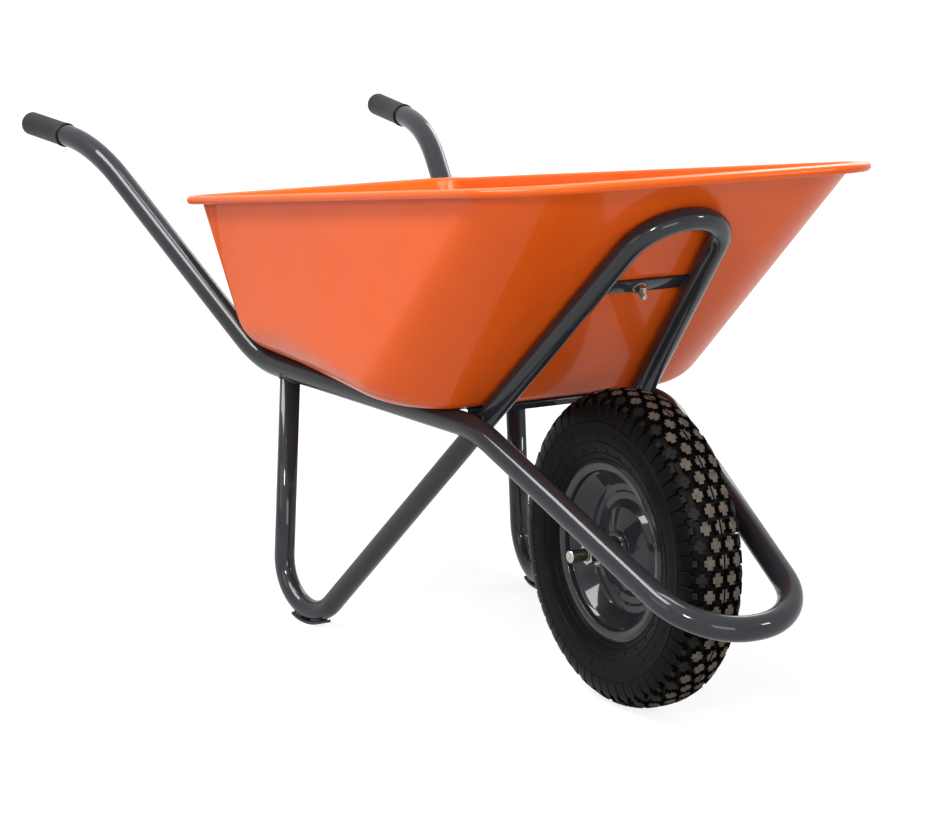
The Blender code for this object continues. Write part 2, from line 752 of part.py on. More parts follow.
def tyre_half():
    """Outer and inner half sections of the tyre, (radius, distance from the middle plane)."""
    crown = WHEEL_OD / 2
    half = TYRE_WIDTH / 2
    bead = RIM_WIDTH / 2 - RIM_SHEET - SEAT_GAP
    flange = RIM_FLANGE_R + 0.0015
    height = crown - flange
    seat = RIM_SEAT_R + RIM_SHEET / 2 + SEAT_GAP
    outer = [(seat, bead - TYRE_HEEL), (seat + TYRE_HEEL, bead), (flange - 0.001, bead),
             (flange + 0.05 * height, half - 0.0075), (flange + 0.18 * height, half - 0.0020),
             (flange + 0.40 * height, half), (flange + 0.62 * height, half - 0.0010),
             (flange + 0.80 * height, half - 0.0050), (flange + 0.90 * height, half - 0.0110),
             (flange + 0.96 * height, half - 0.0200), (flange + 0.99 * height, half - 0.0320),
             (crown, 0.0)]
    inner = [(seat, bead - TYRE_WALL), (flange, bead - TYRE_WALL),
             (flange + 0.22 * height, half - TYRE_WALL - 0.0025),
             (flange + 0.60 * height, half - TYRE_WALL - 0.0015),
             (crown - TYRE_CROWN - 0.0015, half - TYRE_WALL - 0.0190), (crown - TYRE_CROWN, 0.0)]
    return outer, inner


def whole_section(half):
    """Mirror a half section whose last point is on the middle plane."""
    return half + [(radius, -across) for radius, across in half[-2::-1]]


def build_tyre(wheel):
    outer, inner = tyre_half()
    section = whole_section(outer) + whole_section(inner)[::-1]
    lathe("tyre", section, WHEEL_STEPS, RUBBER, parent=wheel, rotation=facing(1))


def build_inner_tube(wheel):
    """Rubber ring filling the tyre, opened where the valve enters it."""
    _, inner = tyre_half()
    low = RIM_SEAT_R + RIM_SHEET / 2 + 2 * SEAT_GAP
    half = [(radius - SEAT_GAP, max(across - SEAT_GAP, 0.0)) for radius, across in inner[1:]]
    floor = [(low, 0.0), (low, half[0][1])]
    upper = floor[1:] + half
    section = [floor[0]] + upper + [(radius, -across) for radius, across in upper[-2::-1]]
    tube = lathe("inner_tube", section, WHEEL_STEPS, BUTYL, parent=wheel, rotation=facing(1))
    skin = tube.modifiers.new("rubber", "SOLIDIFY")
    skin.thickness = TUBE_RUBBER
    skin.offset = -1.0
    skin.use_even_offset = True
    inward = valve_direction()
    centre = valve_foot()
    subtract(tube, cylinder_between("valve_mouth", centre + inward * 0.004, centre - inward * 0.006,
                                    VALVE_OD / 4, BOLT_STEPS))


def valve_direction():
    """From the tyre towards the hub."""
    return Vector((math.cos(VALVE_ANGLE), 0.0, -math.sin(VALVE_ANGLE)))


def valve_y():
    """The valve leaves through the well of the left rim half."""
    return RIM_SHEET + VALVE_CAP_OD / 2 + 0.004


def valve_foot():
    """Point on the inner tube's rim side where the valve starts."""
    radius = (RIM_SEAT_R + RIM_SHEET / 2 + 2 * SEAT_GAP) * math.cos(math.pi / WHEEL_STEPS)
    return Vector((AXLE_X, valve_y(), AXLE_Z)) - valve_direction() * radius


def build_rims(wheel):
    """Two pressed halves, back to back, with the hub through their middles."""
    sheet = RIM_SHEET / 2
    face = sheet + SEAT_GAP / 2
    hub = HUB_OD / 2 + SEAT_GAP + sheet
    flange_y = RIM_WIDTH / 2 - sheet
    end_y = HUB_LENGTH / 2 - 0.002
    band_y = 0.0040
    profile = [
        (hub, end_y), (hub, end_y - 0.004), (hub + 0.008, end_y - 0.0065),
        (hub + 0.030, 0.0095), (hub + 0.036, 0.0030), (hub + 0.039, face),
        (RIM_WELL_R - 0.0145, face), (RIM_WELL_R - 0.0105, band_y),
        (RIM_WELL_R - 0.0035, band_y), (RIM_WELL_R, band_y + 0.0025),
        (RIM_SEAT_R - 0.0035, 0.0225), (RIM_SEAT_R, 0.0255), (RIM_SEAT_R, flange_y - 0.0025),
        (RIM_SEAT_R + 0.003, flange_y), (RIM_FLANGE_R, flange_y),
    ]
    for side, sign in SIDES.items():
        rim = lathe_sheet("rim_half_" + side, profile, WHEEL_STEPS, RIM_SHEET, PAINT_GREY,
                          parent=wheel, rotation=facing(sign))
        if sign > 0:
            foot = valve_foot()
            inward = valve_direction()
            start = foot + inward * 0.004
            end = start + inward * (RIM_SEAT_R - RIM_WELL_R + 0.008)
            subtract(rim, cylinder_between("valve_hole", start, end, VALVE_OD / 2 + SEAT_GAP,
                                           BOLT_STEPS))


def build_valve(wheel):
    """Valve stem from the inner tube through the rim, and its cap."""
    inward = valve_direction()
    turn = inward.to_track_quat("Z", "Y")
    hub_at = Vector((AXLE_X, 0, AXLE_Z))
    foot = valve_foot() + inward * SEAT_GAP - hub_at
    radius = VALVE_OD / 2
    neck = radius - 0.0012
    stem = [(0.0, 0.0), (radius, 0.0), (radius, VALVE_LENGTH - 0.008),
            (neck, VALVE_LENGTH - 0.008), (neck, VALVE_LENGTH), (0.0, VALVE_LENGTH)]
    lathe("valve_stem", stem, BOLT_STEPS, BRASS, parent=wheel, location=foot, rotation=turn)
    bore = neck + SEAT_GAP
    start = VALVE_LENGTH - 0.0075
    end = start + VALVE_CAP_LENGTH
    cap = [(0.0, VALVE_LENGTH + SEAT_GAP), (bore, VALVE_LENGTH + SEAT_GAP), (bore, start),
           (VALVE_CAP_OD / 2, start), (VALVE_CAP_OD / 2, end - 0.001),
           (VALVE_CAP_OD / 2 - 0.001, end), (0.0, end)]
    lathe("valve_cap", cap, BOLT_STEPS, SEAL_BLACK, parent=wheel, location=foot, rotation=turn)


def ring(name, inner_r, outer_r, inner_y, outer_y, look, sign, **placing):
    """A plain ring on the axle, between two distances from the middle plane."""
    profile = [(inner_r, inner_y), (outer_r, inner_y), (outer_r, outer_y), (inner_r, outer_y)]
    return lathe(name, profile, SMALL_STEPS, look, rotation=facing(sign), **placing)


def build_hub(wheel):
    axle_at = Vector((AXLE_X, 0, AXLE_Z))
    half = HUB_LENGTH / 2
    ring("hub_tube", BEARING_OD / 2 + SEAT_GAP, HUB_OD / 2, -half, half, PAINT_GREY, 1,
         parent=wheel)
    race = BEARING_RACE_OD / 2
    axle = AXLE_OD / 2 + SEAT_GAP
    for side, sign in SIDES.items():
        ring("bearing_outer_" + side, race + SEAT_GAP, BEARING_OD / 2, half - BEARING_WIDTH, half,
             SEAL_BLACK, sign, parent=wheel)
        ring("bearing_inner_" + side, axle, race, half - BEARING_WIDTH, half, BARE_STEEL, sign,
             location=axle_at)
        ring("axle_spacer_" + side, axle, SPACER_OD / 2, half + SEAT_GAP,
             BRACKET_INNER_Y - SEAT_GAP, ZINC, sign, location=axle_at)
        washer_y = BRACKET_INNER_Y + BRACKET_THICKNESS + SEAT_GAP
        ring("axle_washer_" + side, axle, AXLE_WASHER_OD / 2, washer_y,
             washer_y + AXLE_WASHER_THICKNESS, ZINC, sign, location=axle_at)
        nut_y = washer_y + AXLE_WASHER_THICKNESS + SEAT_GAP + AXLE_NUT_HEIGHT / 2
        hex_nut("axle_nut_" + side, AXLE_NUT_FLATS, AXLE_NUT_HEIGHT, AXLE_OD + 2 * SEAT_GAP, ZINC,
                location=axle_at + Vector((0, sign * nut_y, 0)), rotation=facing(sign))


def build_axle():
    radius = AXLE_OD / 2
    half = AXLE_LENGTH / 2
    profile = [(0.0, -half), (radius - AXLE_CHAMFER, -half), (radius, AXLE_CHAMFER - half),
               (radius, half - AXLE_CHAMFER), (radius - AXLE_CHAMFER, half), (0.0, half)]
    lathe("axle", profile, SMALL_STEPS, ZINC, location=(AXLE_X, 0, AXLE_Z), rotation=facing(1))


def build_axle_brackets():
    """Plates round the axle, bent outward above it to the underside of the main tube."""
    rail_front, loop = main_corners()[3:5]
    down = (loop - rail_front).normalized()
    above = rail_front + down * ((AXLE_X - rail_front.x) / down.x)
    y = BRACKET_INNER_Y + BRACKET_THICKNESS / 2
    half = BRACKET_WIDTH / 2
    bend_z = AXLE_Z + BRACKET_BEND_RISE
    lobe = [(half * math.cos(turn), half * math.sin(turn))
            for turn in (math.radians(180 + 15 * i) for i in range(13))]
    for side, sign in SIDES.items():
        shape = bmesh.new()
        lower = [shape.verts.new((AXLE_X + x, sign * y, AXLE_Z + z)) for x, z in lobe]
        rear_bend = shape.verts.new((AXLE_X - half, sign * y, bend_z))
        front_bend = shape.verts.new((AXLE_X + half, sign * y, bend_z))
        rear_top = shape.verts.new((AXLE_X - half, sign * above.y, above.z))
        front_top = shape.verts.new((AXLE_X + half, sign * above.y, above.z))
        shape.faces.new([*lower, front_bend, rear_bend])
        shape.faces.new([rear_bend, front_bend, front_top, rear_top])
        bmesh.ops.recalc_face_normals(shape, faces=shape.faces)
        mesh = bpy.data.meshes.new("bracket")
        shape.to_mesh(mesh)
        shape.free()
        bracket = add_part("axle_bracket_" + side, mesh, PAINT_GREY)
        skin = bracket.modifiers.new("plate", "SOLIDIFY")
        skin.thickness = BRACKET_THICKNESS
        skin.offset = 0.0
        skin.use_even_offset = True
        across = Vector((0, sign * BRACKET_THICKNESS * 2, 0))
        at_axle = Vector((AXLE_X, sign * y, AXLE_Z))
        subtract(bracket, cylinder_between("axle_hole_" + side, at_axle - across, at_axle + across,
                                           AXLE_OD / 2 + SEAT_GAP, SMALL_STEPS))
        ends = [above - down * 0.08, above + down * 0.08]
        if sign < 0:
            ends = [mirrored(end) for end in ends]
        subtract(bracket, main_clearance("bracket_cope_" + side, *ends))


def build_wheel():
    wheel = bpy.data.objects.new("wheel_axis", None)
    wheel.location = (AXLE_X, 0, AXLE_Z)
    parts.objects.link(wheel)
    bpy.context.view_layer.update()
    build_tyre(wheel)
    build_inner_tube(wheel)
    build_rims(wheel)
    build_valve(wheel)
    build_hub(wheel)


clear_scene()
parts = new_collection("wheelbarrow")
cutters = new_collection("cutters")

build_main_tube()
build_support_tube()
build_foot_shoes()
tray_shell = build_tray()
build_cross_members(tray_shell)
build_hoop_bar(tray_shell)
build_grips()
build_wheel()
build_axle()
build_axle_brackets()
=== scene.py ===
"""Looks of a builder's wheelbarrow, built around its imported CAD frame.

Metres, +Z up, +X forward (towards the wheel), +Y the operator's left, ground at z = 0. The wheel
turns about the Y axis. Lengths are the CAD source's own unless a comment says otherwise.
"""

import logging
import math
from bisect import bisect_right
from dataclasses import dataclass
from enum import Enum
from typing import Iterable, Optional, Sequence, Union

import bmesh
import bpy
from mathutils import Matrix, Vector


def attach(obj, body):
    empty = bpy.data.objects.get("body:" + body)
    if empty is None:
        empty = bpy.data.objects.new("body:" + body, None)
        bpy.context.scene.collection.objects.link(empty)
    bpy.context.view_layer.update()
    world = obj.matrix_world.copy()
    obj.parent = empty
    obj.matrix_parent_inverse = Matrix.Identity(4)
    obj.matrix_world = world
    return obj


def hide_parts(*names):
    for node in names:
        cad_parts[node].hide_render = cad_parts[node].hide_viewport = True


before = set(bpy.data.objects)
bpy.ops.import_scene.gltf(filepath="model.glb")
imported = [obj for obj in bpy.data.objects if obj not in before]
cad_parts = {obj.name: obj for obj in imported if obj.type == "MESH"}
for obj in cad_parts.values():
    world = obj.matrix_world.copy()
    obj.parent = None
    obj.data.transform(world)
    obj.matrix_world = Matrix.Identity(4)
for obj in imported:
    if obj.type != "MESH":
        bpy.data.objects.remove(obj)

LOG = logging.getLogger("wheelbarrow")
Pair = tuple[float, float]
Triple = tuple[float, float, float]
Profile = Sequence[Pair]
Shape = bmesh.types.BMesh
Edge = bmesh.types.BMEdge
Point = bmesh.types.BMVert
Tree = bpy.types.NodeTree
Socket = bpy.types.NodeSocket
FULL_TURN = 2 * math.pi
UP = Vector((0, 0, 1))
MM_PER_M = 1000.0
# Seated and welded pieces stand this far apart, as in the CAD.
SEAT_GAP = 0.0003
# Places nearer to each other than this are one.
MERGE = 1e-6
# Half angle from which a corner counts as straight, and the share of a straight that one of its
# two fillets may take.
STRAIGHT = math.radians(89.5)
FILLET_SHARE = 0.48


class Body(Enum):
    """The two rigid bodies of the CAD model."""

    FRAME = "frame"
    WHEEL = "wheel"


class Side(Enum):
    """Which side of the middle plane a piece is on; the value is the sign of its y."""

    RIGHT = -1
    LEFT = 1

    @property
    def word(self) -> str:
        """The side's name as the CAD nodes write it."""
        return self.name.lower()


# Shaping.


def on_side(point: Vector, side: Side) -> Vector:
    """A left-hand point, moved to the given side."""
    return Vector((point.x, side.value * point.y, point.z))


def arc(corner: Vector, back: Vector, ahead: Vector, reach: float, steps: int) -> list[Vector]:
    """Places along a fillet.

    Args:
        corner: The corner that it rounds.
        back: Unit direction from the corner to what comes before it.
        ahead: Unit direction from the corner to what comes after it.
        reach: Distance from the corner to each end of the fillet.
        steps: Segments in it.

    Returns:
        Its places, both ends included.
    """
    half = back.angle(ahead) / 2
    sweep = math.pi - 2 * half
    centre = corner + (back + ahead).normalized() * reach / math.cos(half)
    first = corner + back * reach - centre
    last = corner + ahead * reach - centre
    return [centre + (math.sin((1 - i / steps) * sweep) * first
                      + math.sin(i / steps * sweep) * last) / math.sin(sweep)
            for i in range(steps + 1)]


def filleted(points: Profile, radius: Union[float, Sequence[float]],
             steps: int = 5) -> list[Pair]:
    """Round the corners of an open profile.

    Args:
        points: Corners of the profile, the two ends included.
        radius: One fillet radius, or one for each inner corner.
        steps: Segments in each fillet.

    Returns:
        The profile with an arc in place of each corner.
    """
    radii = [radius] * (len(points) - 2) if isinstance(radius, float) else radius
    places = [points[0]]
    for before, corner, after, wanted in zip(points, points[1:], points[2:], radii):
        middle = Vector(corner)
        back, ahead = Vector(before) - middle, Vector(after) - middle
        half = back.angle(ahead) / 2
        if half > STRAIGHT:
            places.append(corner)
            continue
        reach = min(wanted / math.tan(half), FILLET_SHARE * back.length,
                    FILLET_SHARE * ahead.length)
        places += [tuple(place) for place in
                   arc(middle, back.normalized(), ahead.normalized(), reach, steps)]
    places.append(points[-1])
    return places


def thickened(profile: Profile, thickness: float) -> list[Pair]:
    """Give a sheet its thickness.

    Args:
        profile: The middle of the sheet.
        thickness: Its thickness, half of it to each side.

    Returns:
        The sheet's closed outline.
    """
    count = len(profile)
    near, far = [], []
    for i, place in enumerate(profile):
        travel = Vector(profile[min(i + 1, count - 1)]) - Vector(profile[max(i - 1, 0)])
        across = Vector((-travel.y, travel.x)).normalized() * thickness / 2
        near.append(tuple(Vector(place) + across))
        far.append(tuple(Vector(place) - across))
    return near + far[::-1]


def of_kind(made: Iterable, kind: type) -> list:
    """The items of one kind among those that an operator made."""
    return [item for item in made if isinstance(item, kind)]


def faced_out(shape: Shape) -> Shape:
    """Turn every face of a shape outward."""
    bmesh.ops.recalc_face_normals(shape, faces=shape.faces)
    return shape


def moved(shape: Shape, matrix: Matrix) -> Shape:
    """Turn and shift a whole shape."""
    bmesh.ops.transform(shape, matrix=matrix, verts=shape.verts)
    return shape


def ring_of(shape: Shape, places: Iterable[Sequence[float]]) -> list[Edge]:
    """Add a closed loop of edges through the places."""
    points = [shape.verts.new(place) for place in places]
    return [shape.edges.new((points[i - 1], points[i])) for i in range(len(points))]


def chained(shape: Shape, places: Iterable[Sequence[float]], closed: bool = False) -> list:
    """Add points and the edges from each to the next.

    Args:
        shape: The shape they go in.
        places: The points' places.
        closed: Whether the last point joins the first.

    Returns:
        The points, then the edges.
    """
    points = [shape.verts.new(place) for place in places]
    pairs = list(zip(points, points[1:])) + ([(points[-1], points[0])] if closed else [])
    return points + [shape.edges.new(pair) for pair in pairs]


def turned(profile: Profile, steps: int, closed: bool = False) -> Shape:
    """Spin a profile about the Z axis.

    Args:
        profile: (radius, height) points.
        steps: Segments round the axis.
        closed: Whether the last point joins the first, as in a ring.

    Returns:
        The shape, with its faces outward.
    """
    shape = bmesh.new()
    chain = chained(shape, [(radius, 0, height) for radius, height in profile], closed)
    bmesh.ops.spin(shape, geom=chain, cent=(0, 0, 0), axis=UP, angle=FULL_TURN, steps=steps,
                   use_merge=True)
    bmesh.ops.remove_doubles(shape, verts=shape.verts, dist=MERGE)
    return faced_out(shape)


def carried(shape: Shape, edges: Sequence[Edge]) -> tuple[list[Point], list[Edge]]:
    """Extrude edges where they are.

    Args:
        shape: The shape they belong to.
        edges: The edges.

    Returns:
        The new points, and the new edges between them.
    """
    made = bmesh.ops.extrude_edge_only(shape, edges=edges)["geom"]
    points = of_kind(made, Point)
    fresh = set(points)
    return points, [edge for edge in of_kind(made, Edge) if fresh.issuperset(edge.verts)]


def drawn(shape: Shape, edges: Sequence[Edge], step: Vector) -> list[Edge]:
    """Extrude edges by a step.

    Args:
        shape: The shape they belong to.
        edges: The edges.
        step: How far they go.

    Returns:
        The new edges at the end.
    """
    points, front = carried(shape, edges)
    bmesh.ops.translate(shape, verts=points, vec=step)
    return front


def lofted(rings: Sequence[Sequence[Vector]], cap_first: bool, cap_last: bool) -> Shape:
    """Carry a closed ring through a row of rings, each with the same number of places.

    Args:
        rings: The rings in order; the places with one number are joined.
        cap_first: Whether a face closes the first ring.
        cap_last: Whether a face closes the last ring.

    Returns:
        The shape, with its faces outward.
    """
    shape = bmesh.new()
    number = shape.verts.layers.int.new("number")
    front = ring_of(shape, rings[0])
    for i, point in enumerate(shape.verts):
        point[number] = i
    if cap_first:
        bmesh.ops.contextual_create(shape, geom=front)
    for places in rings[1:]:
        points, front = carried(shape, front)
        for point in points:
            point.co = places[point[number]]
    if cap_last:
        bmesh.ops.contextual_create(shape, geom=front)
    return faced_out(shape)


def bridged(rings: Sequence[Sequence[Vector]], closed: bool) -> Shape:
    """Bridge a row of small rings by their nearest places.

    Args:
        rings: The rings in order.
        closed: Whether the last ring joins the first; if not, both get a cap.

    Returns:
        The shape, with its faces outward.
    """
    shape = bmesh.new()
    loops = [ring_of(shape, places) for places in rings]
    for lower, upper in zip(loops, loops[1:] + (loops[:1] if closed else [])):
        bmesh.ops.bridge_loops(shape, edges=lower + upper)
    for end in () if closed else (loops[0], loops[-1]):
        bmesh.ops.contextual_create(shape, geom=end)
    return faced_out(shape)


def circle(radius: float, height: float, steps: int) -> list[Vector]:
    """Places round the Z axis at one height."""
    turns = [FULL_TURN * i / steps for i in range(steps)]
    return [Vector((radius * math.cos(turn), radius * math.sin(turn), height)) for turn in turns]


def ribbed(sections: Sequence[Triple], ribs: int, hollows: Sequence[float]) -> Shape:
    """Make a closed sleeve or cap with ribs along its length.

    Args:
        sections: Radius, height and depth of the hollows of each ring.
        ribs: Number of ribs.
        hollows: Share of the depth at each place of a rib.

    Returns:
        The sleeve, about the Z axis.
    """
    rings = []
    for radius, height, depth in sections:
        places = circle(radius, height, ribs * len(hollows))
        for i, place in enumerate(places):
            place.xy *= 1 - hollows[i % len(hollows)] * depth / radius
        rings.append(places)
    return lofted(rings, True, True)


def bevelled(shape: Shape, edges: Sequence[Edge], width: float, steps: int = 2) -> Shape:
    """Round some edges of a shape."""
    bmesh.ops.bevel(shape, geom=edges, offset=width, segments=steps, profile=0.5, affect="EDGES",
                    material=-1)
    return shape


def block(size: Sequence[float], edge: float = 0.0) -> Shape:
    """Make a cuboid about the origin.

    Args:
        size: Its length, width and height.
        edge: How far its edges are rounded, 0 for crisp ones.

    Returns:
        The cuboid.
    """
    shape = bmesh.new()
    bmesh.ops.create_cube(shape, size=1.0)
    bmesh.ops.scale(shape, verts=shape.verts, vec=size)
    return bevelled(shape, shape.edges[:], edge) if edge else shape


def gathered(shapes: Iterable[Shape]) -> Shape:
    """Put several shapes in one.

    Args:
        shapes: The shapes. They are freed.

    Returns:
        The one shape.
    """
    whole = bmesh.new()
    for shape in shapes:
        mesh = bpy.data.meshes.new("part")
        shape.to_mesh(mesh)
        shape.free()
        whole.from_mesh(mesh)
        bpy.data.meshes.remove(mesh)
    return whole


def aimed(start: Vector, direction: Vector) -> Matrix:
    """Puts the local origin at start and the local Z axis along the direction."""
    return Matrix.Translation(start) @ direction.to_track_quat("Z", "Y").to_matrix().to_4x4()


def keep(name: str, shape: Shape, finishes: Sequence["Finish"], body: Body,
         nodes: Sequence[str] = (), sharp: float = 40.0) -> bpy.types.Object:
    """Make a shape a piece of the model.

    Args:
        name: The piece's name.
        shape: Its shape, in the row frame. It is freed.
        finishes: Its finishes, in the order of the faces' material indices.
        body: The body it rides on.
        nodes: The CAD nodes it stands for.
        sharp: Edges at a larger angle than this, in degrees, stay crisp.

    Returns:
        The object.
    """
    mesh = bpy.data.meshes.new(name)
    shape.to_mesh(mesh)
    shape.free()
    mesh.shade_smooth()
    mesh.set_sharp_from_angle(angle=math.radians(sharp))
    for finish in finishes:
        mesh.materials.append(finish.material())
    piece = bpy.data.objects.new(name, mesh)
    bpy.context.scene.collection.objects.link(piece)
    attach(piece, body.value)
    if nodes:
        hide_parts(*nodes)
    LOG.info("%s: %d faces on %s", name, len(mesh.polygons), body.value)
    return piece


def add_wall(piece: bpy.types.Object, thickness: float, offset: float = -1.0) -> None:
    """Give a skin its wall.

    Args:
        piece: The skin.
        thickness: The wall's thickness.
        offset: -1 puts the wall inside the skin, 0 half on each side of it.
    """
    wall = piece.modifiers.new("wall", "SOLIDIFY")
    wall.thickness = thickness
    wall.offset = offset
    wall.use_even_offset = True


# Finishes.


def linear(code: str) -> tuple[float, float, float, float]:
    """Turn a colour code into linear colour.

    Args:
        code: The sRGB hex code.

    Returns:
        Linear red, green, blue and an alpha of 1.
    """
    values = []
    for i in (1, 3, 5):
        value = int(code[i:i + 2], 16) / 255
        values.append(value / 12.92 if value <= 0.04045 else ((value + 0.055) / 1.055) ** 2.4)
    return (*values, 1.0)


def add_node(tree: Tree, kind: str, inputs: Optional[dict] = None,
             **settings: object) -> bpy.types.Node:
    """Add a node with its settings, values and links.

    Args:
        tree: The tree it goes in.
        kind: Its type's name.
        inputs: A value, or an output socket to link, for each input by name or number.
        **settings: Its own properties.

    Returns:
        The node.
    """
    node = tree.nodes.new(kind)
    for name, value in settings.items():
        setattr(node, name, value)
    for name, value in (inputs or {}).items():
        if isinstance(value, Socket):
            tree.links.new(value, node.inputs[name])
        else:
            node.inputs[name].default_value = value
    return node


@dataclass(frozen=True)
class Pattern:
    """A noise: its features' width, its octaves, and the values it is cut off at."""

    size_mm: float
    detail: float
    low: float = 0.0
    high: float = 1.0

    def add(self, tree: Tree, place: Socket, bottom: float = 0.0, top: float = 1.0) -> Socket:
        """Add the pattern to a material.

        Args:
            tree: The material's tree.
            place: Coordinates.
            bottom: Result at the low value.
            top: Result at the high value.

        Returns:
            The result.
        """
        noise = add_node(tree, "ShaderNodeTexNoise",
                         {"Vector": place, "Scale": MM_PER_M / self.size_mm,
                          "Detail": self.detail})
        ranged = add_node(tree, "ShaderNodeMapRange",
                          {"Value": noise.outputs["Fac"], "From Min": self.low,
                           "From Max": self.high, "To Min": bottom, "To Max": top})
        return ranged.outputs["Result"]


@dataclass(frozen=True)
class Finish:
    """A named surface: two drifting tones, a wandering roughness and a fine relief."""

    name: str
    slot: str
    colour: str
    deep: str
    roughness: float
    patches: Pattern
    sheen: Pattern
    sheen_range: Pair
    relief: Pattern
    relief_depth: float

    def settings(self) -> dict[str, float]:
        """The shader's other values, which make each kind of finish what it is."""
        raise NotImplementedError

    def material(self) -> bpy.types.Material:
        """Make the Blender material on first use.

        Returns:
            The material.
        """
        made = bpy.data.materials.get(self.name)
        if made is None:
            made = bpy.data.materials.new(self.name)
            made.use_nodes = True
            made.diffuse_color = linear(self.colour)
            self.dress(made.node_tree)
        return made

    def dress(self, tree: Tree) -> None:
        """Fill in the shader's colour, roughness, relief and other values.

        Args:
            tree: The material's tree.
        """
        shader = tree.nodes["Principled BSDF"]
        place = add_node(tree, "ShaderNodeTexCoord").outputs["Object"]
        tone = add_node(tree, "ShaderNodeMix",
                        {"Factor": self.patches.add(tree, place), 6: linear(self.colour),
                         7: linear(self.deep)}, data_type="RGBA").outputs[2]
        dull = self.sheen.add(tree, place, *(self.roughness + step for step in self.sheen_range))
        bump = add_node(tree, "ShaderNodeBump",
                        {"Height": self.relief.add(tree, place),
                         "Distance": self.relief_depth}).outputs["Normal"]
        for name, socket in (("Base Color", tone), ("Roughness", dull), ("Normal", bump),
                             ("Coat Normal", bump)):
            tree.links.new(socket, shader.inputs[name])
        for name, value in self.settings().items():
            shader.inputs[name].default_value = value


@dataclass(frozen=True)
class StovedEnamel(Finish):
    """Stoved gloss enamel on steel.

    It gives the eye a saturated even colour under a wet-looking skin: crisp reflections that break
    up a little in the orange peel left by spraying, and a duller bloom where hands and dust go.
    The peel is drawn coarser than the real one of two or three millimetres, which is too fine to
    show.
    """

    roughness: float = 0.34
    patches: Pattern = Pattern(160, 3.0, 0.42, 0.80)
    sheen: Pattern = Pattern(55, 5.0, 0.35, 0.75)
    sheen_range: Pair = (-0.03, 0.07)
    relief: Pattern = Pattern(6.0, 1.5)
    relief_depth: float = 0.000004
    coat: float = 0.5
    coat_ior: float = 1.5
    gloss: float = 0.04
    specular: float = 0.05

    def settings(self) -> dict[str, float]:
        """A clear skin over a colour that hardly shines by itself."""
        return {"Coat Weight": self.coat, "Coat Roughness": self.gloss,
                "Coat IOR": self.coat_ior, "Specular IOR Level": self.specular}


@dataclass(frozen=True)
class MouldedRubber(Finish):
    """Vulcanised rubber as it leaves the mould.

    It gives the eye a soft black with a low sheen, finely grained, a little browner where dust
    and bloom have settled.
    """

    roughness: float = 0.55
    patches: Pattern = Pattern(22, 5.0, 0.40, 0.70)
    sheen: Pattern = Pattern(0.9, 3.0, 0.3, 0.7)
    sheen_range: Pair = (-0.08, 0.10)
    relief: Pattern = Pattern(0.9, 3.0)
    relief_depth: float = 0.00004
    ior: float = 1.15

    def settings(self) -> dict[str, float]:
        """A weak reflection, because the carbon black in rubber takes most light in."""
        return {"IOR": self.ior}


@dataclass(frozen=True)
class PlatedSteel(Finish):
    """Bright zinc plating, or bare machined metal.

    It gives the eye a clean metal with soft-edged reflections, faint tool lines and a slight
    straw tint where the plating is passivated.
    """

    roughness: float = 0.20
    patches: Pattern = Pattern(9, 3.0, 0.35, 0.70)
    sheen: Pattern = Pattern(0.5, 2.0, 0.3, 0.7)
    sheen_range: Pair = (-0.05, 0.06)
    relief: Pattern = Pattern(0.5, 2.0)
    relief_depth: float = 0.000015

    def settings(self) -> dict[str, float]:
        """Bare metal."""
        return {"Metallic": 1.0}


SCUFFED = Pattern(1.4, 3.0, 0.3, 0.7)
SCUFFED_RELIEF = Pattern(1.4, 3.0)
GREY_ENAMEL = StovedEnamel("grey_stoved_enamel", "frame_paint", "#2C2E33", "#26282C")
ORANGE_ENAMEL = StovedEnamel("orange_stoved_enamel", "tray_paint", "#F4631A", "#EE5D15",
                             coat=0.20, gloss=0.05, specular=0.06, relief=Pattern(11.0, 1.5),
                             relief_depth=0.000012)
SIDEWALL_RUBBER = MouldedRubber("moulded_tyre_rubber", "tyre_rubber", "#0D0D0E", "#131211",
                                roughness=0.38, ior=1.12)
TREAD_RUBBER = MouldedRubber("dusty_tread_rubber", "tyre_rubber", "#70675C", "#564F46",
                             roughness=0.75, patches=Pattern(9, 5.0, 0.40, 0.70), sheen=SCUFFED,
                             relief=SCUFFED_RELIEF)
# The outermost blocks: the tread's dusty rubber, painted much darker for the shade that falls on
# the tyre's shoulders.
SHADED_SHOULDER_RUBBER = MouldedRubber("scuffed_shoulder_rubber", "tyre_rubber", "#2B2825", "#201E1C",
                                roughness=0.6, sheen=SCUFFED, relief=SCUFFED_RELIEF, ior=1.12)
BUTYL_RUBBER = MouldedRubber("butyl_tube_rubber", "inner_tube_rubber", "#262626", "#303030")
GRIP_RUBBER = MouldedRubber("soft_grip_vinyl", "grip_rubber", "#26262A", "#1E1E21",
                            roughness=0.42, ior=1.25)
SEAL_RUBBER = MouldedRubber("bearing_seal_rubber", "seal_black", "#141414", "#1B1B1B",
                            roughness=0.4)
# The zinc is given a darker colour than bright zinc has, which paints in the dark reflections of
# the surroundings.
BRIGHT_ZINC = PlatedSteel("bright_zinc_plating", "bright_zinc", "#AFADA4", "#8E8B81")
GROUND_STEEL = PlatedSteel("ground_bearing_steel", "bearing_steel", "#C9CACB", "#A9AAAC")
VALVE_BRASS = PlatedSteel("plain_valve_brass", "valve_brass", "#C9A35A", "#A98544",
                          roughness=0.28)


# Frame.


